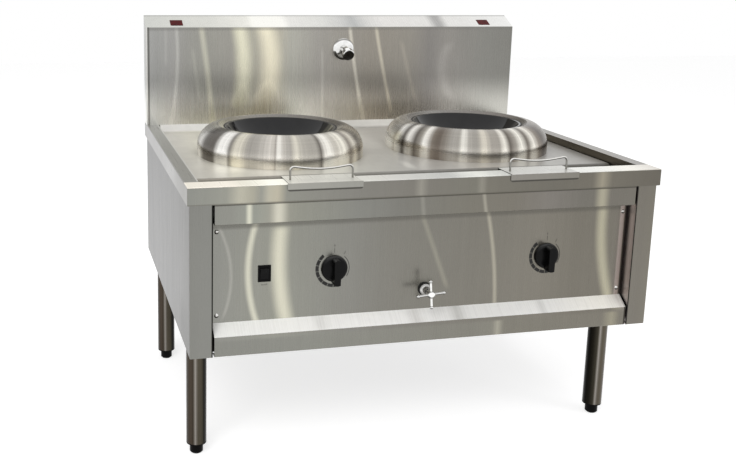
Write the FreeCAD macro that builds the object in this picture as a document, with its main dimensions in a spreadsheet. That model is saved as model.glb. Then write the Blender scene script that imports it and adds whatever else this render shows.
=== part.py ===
import FreeCAD, Part

import math
import os
import re

from FreeCAD import Placement, Rotation, Vector

# A double wok range on four tube legs: a bent-sheet body under a worktop with a front gutter,
# two polished wok rings over black bowls with induction coils below them, a splashback with
# a water spout, and a recessed front panel with two knobs, a rocker switch and a tap.
# Millimetres, X to the right, Y to the back, Z up, origin on the floor under the middle.

dimensions = {
    # worktop and body
    "range_width": 1200,
    "range_depth": 900,
    "handle_reach": 12,
    "rim_height": 722,
    "lip_drop": 42,
    "rim_radius": 3,
    "top_gauge": 2,
    "sheet_gauge": 1.5,
    "side_rim": 35,
    "front_rim": 56,
    "body_inset": 6,
    "body_bottom": 312,
    # deck and gutter
    "deck_drop": 20,
    "deck_gap": 5,
    "deck_setback": 165,
    "nose_radius": 10,
    "nose_drop": 42,
    "cove_run": 30,
    "gutter_floor": 615,
    "gutter_wall_top": 690,
    "gutter_radius": 12,
    # splashback
    "splash_depth": 64,
    "splash_fold_height": 1019,
    "splash_top_height": 1052,
    "fold_radius": 4,
    "display_offset": 505,
    "display_width": 38,
    "display_length": 30,
    "display_start": 12,
    "display_proud": 0.8,
    "board_depth": 18,
    "board_margin": 6,
    # wok places
    "wok_offset": 275,
    "wok_back": 5,
    "ring_radius": 228,
    "ring_wall": 22,
    "ring_height": 80,
    "ring_sweep": 58,
    "ring_gauge": 2,
    "ring_mouth": 156,
    "ring_mouth_drop": 6,
    "ring_lip": 12,
    "deck_hole": 160,
    "bowl_mouth": 147,
    "bowl_edge": 152,
    "bowl_sphere": 170,
    "bowl_gauge": 5,
    "coil_gap": 5,
    "coil_gauge": 12,
    "coil_inner": 25,
    "coil_outer": 128,
    "carrier_gauge": 3,
    "carrier_radius": 140,
    "carrier_collar": 150,
    "carrier_flange": 188,
    # front
    "fascia_half": 536,
    "band_bottom": 630,
    "pillar_inner": 540,
    "pillar_radius": 3,
    "pillar_flange": 26,
    "side_seam": 2,
    "panel_recess": 32,
    "ledge_height": 360,
    "ledge_rise": 24,
    "screw_offset": 526,
    "screw_low": 402,
    "screw_high": 606,
    "screw_head": 5.5,
    "screw_shank": 2.5,
    "screw_dome": 3,
    # knobs
    "knob_left_x": -240,
    "knob_right_x": 318,
    "knob_height": 501,
    "knob_skirt": 32.5,
    "knob_gap": 1,
    "grip_width": 17,
    "grip_height": 32,
    "spindle_radius": 3,
    "bush_radius": 5,
    # rocker switch
    "switch_x": -411.5,
    "switch_height": 499,
    "bezel_width": 31,
    "bezel_tall": 40,
    "bezel_proud": 2.5,
    "housing_width": 27,
    "housing_tall": 36,
    "housing_depth": 30,
    "rocker_width": 20,
    "rocker_half": 12.6,
    "rocker_pivot": 5,
    "rocker_angle": 8,
    "pivot_radius": 1.5,
    # tap
    "tap_x": -7,
    "tap_height": 435,
    "tap_arm_out": 44,
    "tap_arm_reach": 33,
    "tap_arm_radius": 3.2,
    "tap_ball": 4.6,
    "tap_hub": 9.5,
    "tap_turn": 5,
    # spout
    "spout_x": 22,
    "spout_height": 950,
    "spout_flange_radius": 34,
    "spout_tube": 12,
    "spout_tilt": 24,
    "nozzle_radius": 18.5,
    # pipes
    "pipe_radius": 7.5,
    "pipe_clearance": 0.3,
    "riser_y": 421,
    "supply_x": 60,
    "supply_y": 406,
    "supply_run_height": 398,
    "drain_x": 100,
    "drain_y": -340,
    "drain_radius": 20,
    "drain_end": 286,
    "inlet_radius": 10.5,
    "outlet_radius": 21,
    "gland_x": 300,
    "gland_y": 396,
    # legs
    "leg_x": 556,
    "leg_y": 300,
    "leg_radius": 25.4,
    "leg_wall": 2,
    "leg_bottom": 30,
    "leg_top": 350,
    "insert_flange": 3,
    "foot_radius": 16.8,
    "foot_chamfer": 4,
    "stud_radius": 5,
    "stud_top": 70,
    "running_gap": 0.05,
    # strainers
    "strainer_offset": 278,
    "strainer_half": 87.5,
    "strainer_lip_half": 91,
    "strainer_lip_bottom": 705,
    "strainer_front_gap": 0.5,
    "basket_front": -375,
    "basket_back": -305,
    "basket_floor": 640,
    "basket_back_top": 700,
    "handle_y": -415,
    "handle_half": 76,
    "handle_height": 32,
    "handle_dip": 11,
    "wire_radius": 2.4,
    # electrics
    "inverter_offset": 300,
    "inverter_width": 240,
    "inverter_front": -330,
    "inverter_back": 40,
    "inverter_base": 50,
    "fin_height": 40,
    "fin_gauge": 3,
    "fin_count": 12,
    "fan_y": 140,
    "fan_size": 120,
    "fan_depth": 38,
    "fan_bore": 57,
    "fan_hub": 20,
    "blade_tip": 54,
    "blade_count": 7,
}

# Places worked out from the driving dimensions.
derived = {
    "half_width": "range_width / 2",
    "middle_y": "handle_reach / 2",
    "front_y": "middle_y - range_depth / 2",
    "back_y": "middle_y + range_depth / 2",
    "lip_bottom": "rim_height - lip_drop",
    "body_top": "rim_height - top_gauge",
    "body_half": "half_width - body_inset",
    "body_front": "front_y + body_inset",
    "body_back": "back_y - body_inset",
    "inner_half": "body_half - sheet_gauge",
    "opening_half": "half_width - side_rim",
    "opening_front": "front_y + front_rim",
    "splash_front": "back_y - splash_depth",
    "deck_top": "rim_height - deck_drop",
    "deck_under": "deck_top - top_gauge",
    "deck_front": "front_y + deck_setback",
    "deck_half": "opening_half - deck_gap",
    "fascia_face": "body_front + panel_recess",
    "fascia_back": "fascia_face + sheet_gauge",
    "ledge_angle": "atan(ledge_rise / panel_recess)",
    "ledge_shift": "sheet_gauge * (1 - sin(ledge_angle)) / cos(ledge_angle)",
    "slope": "atan((splash_top_height - splash_fold_height) / splash_depth)",
    "pan_under": "body_bottom + sheet_gauge",
    "pan_top": "pan_under + sheet_gauge",
    "wok_y": "middle_y + wok_back",
    "foot_height": "leg_bottom - insert_flange",
}

document = FreeCAD.newDocument("WokRange")
sheet = document.addObject("Spreadsheet::Sheet", "Dims")
for row, (alias, number) in enumerate(dimensions.items(), start=1):
    sheet.set(f"A{row}", alias)
    sheet.set(f"B{row}", str(number))
    sheet.setAlias(f"B{row}", alias)
document.recompute()

nodes = []
sides = (("left", -1), ("right", 1))


# ---- helpers: formulas, primitives, sketches and features

def expand(formula):
    # A formula in plain names becomes one that reads the sheet.
    def swap(match):
        word = match.group(0)
        if word in dimensions:
            return f"Dims.{word}"
        if word in derived:
            return f"({expand(derived[word])})"
        return word
    return re.sub(r"[a-z_]+", swap, str(formula))


def value(formula):
    return float(sheet.evalExpression(expand(formula)))


def bind(item, path, formula):
    item.setExpression(path, expand(formula))


def keep(item, label):
    item.Label = label
    nodes.append(item)
    return item


def place(item, x="0", y="0", z="0"):
    bind(item, ".Placement.Base.x", x)
    bind(item, ".Placement.Base.y", y)
    bind(item, ".Placement.Base.z", z)
    return item


def box(name, x, y, z):
    item = document.addObject("Part::Box", name)
    for size, (low, high) in zip(("Length", "Width", "Height"), (x, y, z)):
        bind(item, size, f"({high}) - ({low})")
    return place(item, x[0], y[0], z[0])


def cylinder(name, radius, x, y, low, high):
    item = document.addObject("Part::Cylinder", name)
    bind(item, "Radius", radius)
    bind(item, "Height", f"({high}) - ({low})")
    return place(item, x, y, low)


def cut(name, base, tools):
    item = document.addObject("Part::Cut", name)
    item.Base = base
    item.Tool = tools[0] if len(tools) == 1 else fuse(name + "_tools", tools)
    return item


def fuse(name, shapes):
    item = document.addObject("Part::MultiFuse", name)
    item.Shapes = shapes
    return item


def group(name, shapes):
    item = document.addObject("Part::Compound", name)
    item.Links = shapes
    return item


def new_body(name, x="0", y="0", z="0", lean=0, turn=0):
    # Leaning by 90 puts the body's own Z axis along -Y, out of the front panel.
    # The turn, about that own axis, comes first.
    body = document.addObject("PartDesign::Body", name)
    lean_over = Rotation(Vector(1, 0, 0), lean)
    body.Placement = Placement(Vector(), lean_over.multiply(Rotation(Vector(0, 0, 1), turn)))
    return place(body, x, y, z)


def new_sketch(body, role, offset="0"):
    sketch = body.newObject("Sketcher::SketchObject", body.Name + "_sketch")
    planes = [item for item in body.Origin.OriginFeatures if item.Role == role]
    sketch.AttachmentSupport = (planes[0], [""])
    sketch.MapMode = "FlatFace"
    sign = "-" if role == "XZ_Plane" else ""
    bind(sketch, ".AttachmentOffset.Base.z", f"{sign}({offset})")
    return sketch


def arc_middle(start, end, radius, side):
    # side +1 puts the centre to the left of the way from start to end, -1 to the right.
    chord = end - start
    middle = (start + end) * 0.5
    left = Vector(-chord.y, chord.x, 0).normalize() * side
    height = math.sqrt(max(radius ** 2 - (chord.Length / 2) ** 2, 0))
    return middle + left * (height - radius)


def outline(sketch, steps):
    # A closed line through the steps: (x, y) straight, (x, y, radius, side) along an arc.
    corners = [Vector(value(step[0]), value(step[1]), 0) for step in steps]
    first = sketch.GeometryCount
    count = len(steps)
    for number, step in enumerate(steps):
        start = corners[number - 1]
        end = corners[number]
        if len(step) == 2:
            sketch.addGeometry(Part.LineSegment(start, end))
        else:
            middle = arc_middle(start, end, value(step[2]), step[3])
            sketch.addGeometry(Part.Arc(start, middle, end))
    for number, step in enumerate(steps):
        here = first + number
        following = first + (number + 1) % count
        end_point = nearest_end(sketch, here, corners[number])
        start_point = nearest_end(sketch, following, corners[number])
        pin_point(sketch, here, end_point, step[0], step[1])
        constrain(sketch, "Coincident", here, end_point, following, start_point)
        if len(step) > 2:
            index = constrain(sketch, "Radius", here, value(step[2]))
            bind(sketch, f"Constraints[{index}]", step[2])


def nearest_end(sketch, geometry, corner):
    gap = [sketch.getPoint(geometry, end).sub(corner).Length for end in (1, 2)]
    return 1 if gap[0] < gap[1] else 2


def constrain(sketch, *arguments):
    import Sketcher
    return sketch.addConstraint(Sketcher.Constraint(*arguments))


def pin_point(sketch, geometry, end, x, y):
    # Ties one point to the sketch origin; a zero distance is a point on the axis.
    for kind, axis, formula in (("DistanceX", -2, x), ("DistanceY", -1, y)):
        if formula == "0":
            constrain(sketch, "PointOnObject", geometry, end, axis)
        else:
            index = constrain(sketch, kind, -1, 1, geometry, end, value(formula))
            bind(sketch, f"Constraints[{index}]", formula)


def rectangle(sketch, x, y):
    outline(sketch, [(x[0], y[0]), (x[1], y[0]), (x[1], y[1]), (x[0], y[1])])


def circle(sketch, x, y, radius):
    centre = Vector(value(x), value(y), 0)
    number = sketch.addGeometry(Part.Circle(centre, Vector(0, 0, 1), value(radius)))
    pin_point(sketch, number, 3, x, y)
    index = constrain(sketch, "Radius", number, value(radius))
    bind(sketch, f"Constraints[{index}]", radius)


def extrude(body, sketch, length, taper=0):
    # Along the rising axis of the sketch plane: +X, +Y or +Z of the body.
    feature = body.newObject("PartDesign::Pad", body.Name + "_pad")
    feature.Profile = sketch
    bind(feature, "Length", length)
    feature.Reversed = sketch.AttachmentSupport[0][0].Role == "XZ_Plane"
    feature.TaperAngle = taper
    document.recompute()
    return feature


def carve(body, sketch, length):
    before = body.Tip.Shape.Volume
    feature = body.newObject("PartDesign::Pocket", body.Name + "_pocket")
    feature.Profile = sketch
    bind(feature, "Length", length)
    feature.Reversed = sketch.AttachmentSupport[0][0].Role != "XZ_Plane"
    document.recompute()
    if feature.Shape.Volume > before - 0.1:
        raise ValueError(f"{feature.Name} cuts nothing")
    return feature


def spin(body, sketch, axis):
    feature = body.newObject("PartDesign::Revolution", body.Name + "_revolve")
    feature.Profile = sketch
    feature.ReferenceAxis = (sketch, [axis])
    feature.Angle = 360
    document.recompute()
    return feature


def revolve(body, steps):
    # Turned about the body's own Z axis; the steps are (distance from the axis, height).
    sketch = new_sketch(body, "XZ_Plane")
    outline(sketch, steps)
    return spin(body, sketch, "V_Axis")


def lies_at(shape, where):
    bounds = shape.BoundBox
    for axis, formula in where.items():
        low = getattr(bounds, f"{axis.upper()}Min")
        high = getattr(bounds, f"{axis.upper()}Max")
        target = value(formula)
        if abs(low - target) > 0.02 or abs(high - target) > 0.02:
            return False
    return True


def edge_names(feature, places):
    names = []
    for number, edge in enumerate(feature.Shape.Edges, start=1):
        if any(lies_at(edge, where) for where in places):
            names.append(f"Edge{number}")
    return names


def round_edges(body, radius, *places):
    feature = body.newObject("PartDesign::Fillet", body.Name + "_fillet")
    base = body.Tip if body.Tip != feature else body.Group[-2]
    feature.Base = (base, edge_names(base, places))
    bind(feature, "Radius", radius)
    document.recompute()
    return feature


def repeat_round(body, features, count):
    pattern = body.newObject("PartDesign::PolarPattern", body.Name + "_pattern")
    pattern.Originals = features
    axes = [item for item in body.Origin.OriginFeatures if item.Role == "Z_Axis"]
    pattern.Axis = (axes[0], [""])
    pattern.Angle = 360
    bind(pattern, "Occurrences", count)
    body.Tip = pattern
    document.recompute()
    return pattern


def repeat_along(body, feature, role, length, count):
    pattern = body.newObject("PartDesign::LinearPattern", body.Name + "_pattern")
    pattern.Originals = [feature]
    axes = [item for item in body.Origin.OriginFeatures if item.Role == role]
    pattern.Direction = (axes[0], [""])
    bind(pattern, "Length", length)
    bind(pattern, "Occurrences", count)
    body.Tip = pattern
    document.recompute()
    return pattern


def rounded_path(points, radii):
    # Straight runs joined by tangent arcs, one radius for each inner point.
    edges = []
    start = points[0]
    for before, corner, after, radius in zip(points, points[1:], points[2:], radii):
        arriving = (corner - before).normalize()
        leaving = (after - corner).normalize()
        half_turn = arriving.getAngle(leaving) / 2
        reach = radius * math.tan(half_turn)
        arc_start = corner - arriving * reach
        arc_end = corner + leaving * reach
        inward = (leaving - arriving).normalize()
        to_centre = radius / math.cos(half_turn)
        arc_point = corner + inward * (to_centre - radius)
        edges.append(Part.LineSegment(start, arc_start).toShape())
        edges.append(Part.Arc(arc_start, arc_point, arc_end).toShape())
        start = arc_end
    edges.append(Part.LineSegment(start, points[-1]).toShape())
    return Part.Wire(edges)


def rod_along(points, radii, radius, bore=0):
    # A round bar, or a tube with a bore, along a rounded path.
    path = rounded_path(points, radii)
    direction = points[1] - points[0]
    shapes = []
    for ring_radius in (radius, bore):
        if ring_radius:
            ring = Part.Wire([Part.makeCircle(ring_radius, points[0], direction)])
            shapes.append(path.makePipeShell([ring], True, False))
    return shapes[0].cut(shapes[1]) if bore else shapes[0]


def point(x, y, z):
    return Vector(value(x), value(y), value(z))


def free_shape(name, shape):
    item = document.addObject("Part::Feature", name)
    item.Shape = shape
    item.Placement = Placement()
    return item


# ---- worktop

def make_top_frame():
    body = new_body("top_frame")
    sketch = new_sketch(body, "XY_Plane", "lip_bottom")
    rectangle(sketch, ("-half_width", "half_width"), ("front_y", "back_y"))
    extrude(body, sketch, "lip_drop")
    round_edges(
        body, "rim_radius",
        {"x": "-half_width", "y": "front_y"}, {"x": "half_width", "y": "front_y"},
        {"x": "-half_width", "z": "rim_height"}, {"x": "half_width", "z": "rim_height"},
        {"y": "front_y", "z": "rim_height"},
    )
    hollow = new_sketch(body, "XY_Plane", "lip_bottom")
    rectangle(
        hollow,
        ("-half_width + top_gauge", "half_width - top_gauge"),
        ("front_y + top_gauge", "back_y - top_gauge"),
    )
    rectangle(
        hollow,
        ("-opening_half - top_gauge", "opening_half + top_gauge"),
        ("opening_front - top_gauge", "splash_front + top_gauge"),
    )
    carve(body, hollow, "lip_drop - top_gauge")
    opening = new_sketch(body, "XY_Plane", "lip_bottom")
    rectangle(opening, ("-opening_half", "opening_half"), ("opening_front", "splash_front"))
    carve(body, opening, "lip_drop")
    pipe_hole = new_sketch(body, "XY_Plane", "body_top")
    circle(pipe_hole, "spout_x", "middle_y + riser_y", "pipe_radius + pipe_clearance")
    carve(body, pipe_hole, "top_gauge")
    keep(body, "top_frame")


def make_deck_plate():
    # One folded sheet: cove against the splashback, flat deck, rolled nose, gutter flange.
    body = new_body("deck_plate")
    sketch = new_sketch(body, "YZ_Plane", "-deck_half")
    outline(sketch, [
        ("splash_front", "rim_height"),
        ("splash_front - cove_run", "deck_top"),
        ("deck_front + nose_radius", "deck_top"),
        ("deck_front", "deck_top - nose_radius", "nose_radius", 1),
        ("deck_front", "deck_top - nose_drop"),
        ("deck_front + top_gauge", "deck_top - nose_drop"),
        ("deck_front + top_gauge", "deck_top - nose_radius"),
        ("deck_front + nose_radius", "deck_under", "nose_radius - top_gauge", -1),
        ("splash_front - cove_run + 0.6 * top_gauge", "deck_under"),
        ("splash_front", "rim_height - 1.2 * top_gauge"),
    ])
    extrude(body, sketch, "2 * deck_half")
    holes = new_sketch(body, "XY_Plane", "deck_under")
    for x in ("-wok_offset", "wok_offset"):
        circle(holes, x, "wok_y", "deck_hole")
    carve(body, holes, "top_gauge")
    keep(body, "deck_plate")


def make_gutter_channel():
    body = new_body("gutter_channel")
    sketch = new_sketch(body, "XY_Plane", "gutter_floor")
    rectangle(sketch, ("-opening_half", "opening_half"), ("opening_front", "deck_front"))
    extrude(body, sketch, "gutter_wall_top - gutter_floor")
    round_edges(
        body, "gutter_radius",
        {"y": "opening_front", "z": "gutter_floor"}, {"y": "deck_front", "z": "gutter_floor"},
    )
    shell = body.newObject("PartDesign::Thickness", "gutter_shell")
    base = body.Group[-2]
    top_faces = []
    for number, face in enumerate(base.Shape.Faces, start=1):
        if lies_at(face, {"z": "gutter_wall_top"}):
            top_faces.append(f"Face{number}")
    shell.Base = (base, top_faces)
    bind(shell, "Value", "sheet_gauge")
    shell.Reversed = True
    shell.Join = 1
    document.recompute()
    outlet = new_sketch(body, "XY_Plane", "gutter_floor")
    circle(outlet, "drain_x", "middle_y + drain_y", "drain_radius - sheet_gauge")
    carve(body, outlet, "sheet_gauge")
    keep(body, "gutter_channel")


# ---- wok places

def make_wok_ring(side, sign):
    # Spun ring: upright wall, quarter round to the crown, dip to the mouth, inner lip.
    body = new_body(f"wok_ring_{side}", f"{sign} * wok_offset", "wok_y", "deck_top")
    crown = "ring_radius - ring_sweep"
    mouth_top = "ring_height - ring_mouth_drop"
    revolve(body, [
        ("ring_radius", "0"),
        ("ring_radius", "ring_wall"),
        (crown, "ring_height", "ring_sweep", 1),
        ("ring_mouth", mouth_top),
        ("ring_mouth", f"{mouth_top} - ring_lip"),
        ("ring_mouth + ring_gauge", f"{mouth_top} - ring_lip"),
        ("ring_mouth + ring_gauge", f"{mouth_top} - 0.9 * ring_gauge"),
        (crown, "ring_height - ring_gauge"),
        ("ring_radius - ring_gauge", "ring_wall", "ring_sweep - ring_gauge", -1),
        ("ring_radius - ring_gauge", "0"),
    ])
    keep(body, f"wok_ring_{side}")


bowl_centre = "ring_height - ring_mouth_drop + sqrt(bowl_sphere^2 - bowl_mouth^2)"


def sphere_height(radius, at):
    # Height of the lower half of a sphere about the bowl's centre, at a distance from its axis.
    return f"{bowl_centre} - sqrt(({radius})^2 - ({at})^2)"


def make_bowl_seals():
    seals = []
    top = "ring_height - ring_mouth_drop"
    for side, sign in sides:
        body = new_body(f"bowl_seal_{side}", f"{sign} * wok_offset", "wok_y", "deck_top")
        revolve(body, [
            ("bowl_edge", top),
            ("ring_mouth", top),
            ("ring_mouth", f"{top} - ring_lip"),
            ("ring_mouth + 4", f"{top} - ring_lip"),
            ("ring_mouth + 4", f"{top} - ring_lip - 3"),
            ("bowl_edge - 2", f"{top} - ring_lip - 3"),
            ("bowl_edge", f"{top} - 4"),
        ])
        seals.append(body)
    keep(group("bowl_seals", seals), "bowl_seals")


def make_ceramic_bowl(side, sign):
    body = new_body(f"ceramic_bowl_{side}", f"{sign} * wok_offset", "wok_y", "deck_top")
    top = "ring_height - ring_mouth_drop"
    outside = "bowl_sphere + bowl_gauge"
    revolve(body, [
        ("0", f"{bowl_centre} - bowl_sphere"),
        ("bowl_mouth", top, "bowl_sphere", 1),
        ("bowl_edge", top),
        ("bowl_edge", sphere_height(outside, "bowl_edge")),
        ("0", f"{bowl_centre} - ({outside})", outside, -1),
    ])
    keep(body, f"ceramic_bowl_{side}")


coil_sphere = "bowl_sphere + bowl_gauge + coil_gap"
carrier_sphere = f"{coil_sphere} + coil_gauge"


def make_coil_carrier(side, sign):
    # A dish under the coil, hung from the deck by a collar with a flange.
    body = new_body(f"coil_carrier_{side}", f"{sign} * wok_offset", "wok_y", "deck_top")
    outside = f"{carrier_sphere} + carrier_gauge"
    collar_inside = "carrier_collar - carrier_gauge"
    rim = sphere_height(carrier_sphere, "carrier_radius")
    revolve(body, [
        ("0", f"{bowl_centre} - ({carrier_sphere})"),
        ("carrier_radius", rim, carrier_sphere, 1),
        ("carrier_collar", rim),
        ("carrier_collar", "-top_gauge"),
        ("carrier_flange", "-top_gauge"),
        ("carrier_flange", "-top_gauge - carrier_gauge"),
        (collar_inside, "-top_gauge - carrier_gauge"),
        (collar_inside, f"{sphere_height(outside, 'carrier_radius')}"),
        ("carrier_radius", sphere_height(outside, "carrier_radius")),
        ("0", f"{bowl_centre} - ({outside})", outside, -1),
    ])
    keep(body, f"coil_carrier_{side}")


def make_induction_coils():
    coils = []
    for side, sign in sides:
        body = new_body(f"coil_{side}", f"{sign} * wok_offset", "wok_y", "deck_top")
        revolve(body, [
            ("coil_inner", sphere_height(coil_sphere, "coil_inner")),
            ("coil_outer", sphere_height(coil_sphere, "coil_outer"), coil_sphere, 1),
            ("coil_outer", sphere_height(carrier_sphere, "coil_outer")),
            ("coil_inner", sphere_height(carrier_sphere, "coil_inner"), carrier_sphere, -1),
        ])
        coils.append(body)
    keep(group("induction_coils", coils), "induction_coils")


# ---- splashback

def slope_box(name, x, along, out):
    # A box lying on the sloped top: X, distance up the slope from the fold, height off it.
    item = document.addObject("Part::Box", name)
    item.Placement = Placement(Vector(), Rotation(Vector(1, 0, 0), 10))
    for size, (low, high) in zip(("Length", "Width", "Height"), (x, along, out)):
        bind(item, size, f"({high}) - ({low})")
    place(
        item, x[0],
        f"splash_front + ({along[0]}) * cos(slope) - ({out[0]}) * sin(slope)",
        f"splash_fold_height + ({along[0]}) * sin(slope) + ({out[0]}) * cos(slope)",
    )
    bind(item, ".Placement.Rotation.Angle", "slope")
    return item


def display_span(sign, margin="0"):
    middle = f"{sign} * display_offset"
    half = f"(display_width / 2 + {margin})"
    x = (f"{middle} - {half}", f"{middle} + {half}")
    along = (f"display_start - {margin}", f"display_start + display_length + {margin}")
    return x, along


def make_splash_casing():
    # Folded from one sheet, open at the back and below, with welded ends.
    body = new_body("splash_shell")
    sketch = new_sketch(body, "YZ_Plane", "-half_width")
    outline(sketch, [
        ("splash_front", "rim_height"),
        ("back_y", "rim_height"),
        ("back_y", "splash_top_height"),
        ("splash_front", "splash_fold_height"),
    ])
    extrude(body, sketch, "range_width")
    round_edges(body, "fold_radius", {"y": "splash_front", "z": "splash_fold_height"})
    inside = new_sketch(body, "YZ_Plane", "-half_width + sheet_gauge")
    roof = "sheet_gauge / cos(slope)"
    outline(inside, [
        ("splash_front + sheet_gauge", "rim_height"),
        ("back_y", "rim_height"),
        ("back_y", f"splash_top_height - {roof}"),
        (
            "splash_front + sheet_gauge",
            f"splash_fold_height - {roof} + sheet_gauge * tan(slope)",
        ),
    ])
    carve(body, inside, "range_width - 2 * sheet_gauge")
    pipe_hole = new_sketch(body, "XZ_Plane", "splash_front")
    circle(pipe_hole, "spout_x", "spout_height", "pipe_radius + pipe_clearance")
    carve(body, pipe_hole, "sheet_gauge")
    windows = []
    for side, sign in sides:
        x, along = display_span(sign)
        windows.append(slope_box(f"window_{side}", x, along, ("-10", "10")))
    keep(cut("splash_casing", body, windows), "splash_casing")


def make_display(side, sign):
    x, along = display_span(sign)
    lens = slope_box(f"display_lens_{side}", x, along, ("-sheet_gauge", "display_proud"))
    x, along = display_span(sign, "board_margin")
    board = slope_box(
        f"display_board_{side}", x, along,
        ("-sheet_gauge - board_depth", "-sheet_gauge"),
    )
    return lens, board


def make_displays():
    pairs = [make_display(side, sign) for side, sign in sides]
    keep(group("display_lenses", [lens for lens, board in pairs]), "display_lenses")
    keep(group("display_boards", [board for lens, board in pairs]), "display_boards")


def make_splash_rear_cover():
    cover = box(
        "splash_rear_cover",
        ("-half_width + sheet_gauge", "half_width - sheet_gauge"),
        ("back_y - sheet_gauge", "back_y"),
        (
            "rim_height",
            "splash_top_height - sheet_gauge / cos(slope) - sheet_gauge * tan(slope)",
        ),
    )
    keep(cover, "splash_rear_cover")


# ---- spout

def make_spout():
    flange = new_body("spout_flange", "spout_x", "splash_front", "spout_height", 90)
    revolve(flange, [
        ("0", "0"),
        ("spout_flange_radius", "0"),
        ("spout_flange_radius", "3"),
        ("spout_flange_radius - 8", "8", "12", 1),
        ("spout_tube + 3", "10"),
        ("0", "10"),
    ])
    keep(flange, "spout_flange")

    start = ("spout_x", "splash_front - 10", "spout_height")
    corner = ("spout_x", "splash_front - 24", "spout_height")
    end = (
        "spout_x",
        "splash_front - 24 - 16 * cos(spout_tilt)",
        "spout_height - 16 * sin(spout_tilt)",
    )
    bend = [point(*start), point(*corner), point(*end)]
    keep(free_shape("spout_elbow", rod_along(bend, [20], value("spout_tube"))), "spout_elbow")

    nozzle = new_body("spout_nozzle", *end, 90 + value("spout_tilt"))
    revolve(nozzle, [
        ("0", "0"),
        ("spout_tube + 2", "0"),
        ("nozzle_radius", "5", "7", 1),
        ("nozzle_radius", "18"),
        ("nozzle_radius - 2", "20"),
        ("nozzle_radius - 5", "20"),
        ("nozzle_radius - 5", "18.5"),
        ("0", "18.5"),
    ])
    keep(nozzle, "spout_nozzle")


# ---- body panels

def make_fascia_panel():
    # One folded sheet: bottom flange, lower band, ledge sloping back, control panel.
    body = new_body("fascia_panel")
    sketch = new_sketch(body, "YZ_Plane", "-fascia_half")
    flange_end = "body_front + 24"
    outline(sketch, [
        (flange_end, "body_bottom"),
        ("body_front", "body_bottom"),
        ("body_front", "ledge_height"),
        ("fascia_face", "ledge_height + ledge_rise"),
        ("fascia_face", "body_top"),
        ("fascia_back", "body_top"),
        ("fascia_back", "ledge_height + ledge_rise - ledge_shift"),
        ("body_front + sheet_gauge", "ledge_height - ledge_shift"),
        ("body_front + sheet_gauge", "pan_under"),
        (flange_end, "pan_under"),
    ])
    extrude(body, sketch, "2 * fascia_half")
    round_edges(
        body, "2",
        {"y": "body_front", "z": "body_bottom"}, {"y": "body_front", "z": "ledge_height"},
    )
    holes = new_sketch(body, "XZ_Plane", "fascia_face")
    circle(holes, "knob_left_x", "knob_height", "bush_radius")
    circle(holes, "knob_right_x", "knob_height", "bush_radius")
    circle(holes, "tap_x", "tap_height", "11")
    for x in ("-screw_offset", "screw_offset"):
        for z in ("screw_low", "screw_high"):
            circle(holes, x, z, "screw_shank")
    rectangle(
        holes,
        ("switch_x - housing_width / 2", "switch_x + housing_width / 2"),
        ("switch_height - housing_tall / 2", "switch_height + housing_tall / 2"),
    )
    carve(body, holes, "sheet_gauge")
    keep(body, "fascia_panel")


def make_top_band():
    body = new_body("top_band")
    sketch = new_sketch(body, "YZ_Plane", "-fascia_half")
    outline(sketch, [
        ("body_front", "body_top"),
        ("body_front", "band_bottom"),
        ("fascia_face", "band_bottom"),
        ("fascia_face", "band_bottom + sheet_gauge"),
        ("body_front + sheet_gauge", "band_bottom + sheet_gauge"),
        ("body_front + sheet_gauge", "body_top"),
    ])
    extrude(body, sketch, "2 * fascia_half")
    round_edges(body, "2", {"y": "body_front", "z": "band_bottom"})
    keep(body, "top_band")


def make_pillar(side, sign):
    # Folded upright beside the recess, with a flange behind the control panel.
    body = new_body(f"pillar_{side}")
    sketch = new_sketch(body, "XY_Plane", "body_bottom")
    flange_back = "fascia_back + sheet_gauge"
    seam = "body_front + side_seam + 2"
    steps = [
        ("pillar_inner - pillar_flange", "fascia_back"),
        ("pillar_inner", "fascia_back"),
        ("pillar_inner", "body_front"),
        ("body_half - pillar_radius", "body_front"),
        ("body_half", "body_front + pillar_radius", "pillar_radius", sign),
        ("body_half", seam),
        ("inner_half", seam),
        ("inner_half", "body_front + pillar_radius"),
        (
            "body_half - pillar_radius", "body_front + sheet_gauge",
            "pillar_radius - sheet_gauge", -sign,
        ),
        ("pillar_inner + sheet_gauge", "body_front + sheet_gauge"),
        ("pillar_inner + sheet_gauge", flange_back),
        ("pillar_inner - pillar_flange", flange_back),
    ]
    outline(sketch, [(f"{sign} * ({step[0]})",) + step[1:] for step in steps])
    extrude(body, sketch, "body_top - body_bottom")
    holes = new_sketch(body, "XZ_Plane", "fascia_back")
    for z in ("screw_low", "screw_high"):
        circle(holes, f"{sign} * screw_offset", z, "screw_shank")
    carve(body, holes, "sheet_gauge")
    keep(body, f"pillar_{side}")


def make_side_panel(side, sign):
    body = new_body(f"side_panel_{side}")
    front = "body_front + side_seam + 4"
    sketch = new_sketch(body, "XZ_Plane", front)
    steps = [
        ("body_half", "body_bottom"),
        ("body_half", "body_top"),
        ("inner_half", "body_top"),
        ("inner_half", "pan_under"),
        ("inner_half - 10", "pan_under"),
        ("inner_half - 10", "body_bottom"),
    ]
    outline(sketch, [(f"{sign} * ({step[0]})", step[1]) for step in steps])
    extrude(body, sketch, f"body_back - ({front})")
    round_edges(body, "2", {"x": f"{sign} * body_half", "z": "body_bottom"})
    keep(body, f"side_panel_{side}")


def make_rear_panel():
    body = new_body("rear_panel")
    sketch = new_sketch(body, "XZ_Plane", "body_back - sheet_gauge")
    rectangle(sketch, ("-inner_half", "inner_half"), ("pan_under", "body_top"))
    extrude(body, sketch, "sheet_gauge")
    for x in ("-inverter_offset", "inverter_offset"):
        slot = new_sketch(body, "XZ_Plane", "body_back - sheet_gauge")
        rectangle(slot, (f"{x} - 90", f"{x} + 90"), ("560", "566"))
        first = carve(body, slot, "sheet_gauge")
        repeat_along(body, first, "Z_Axis", "84", "7")
    keep(body, "rear_panel")


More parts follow.
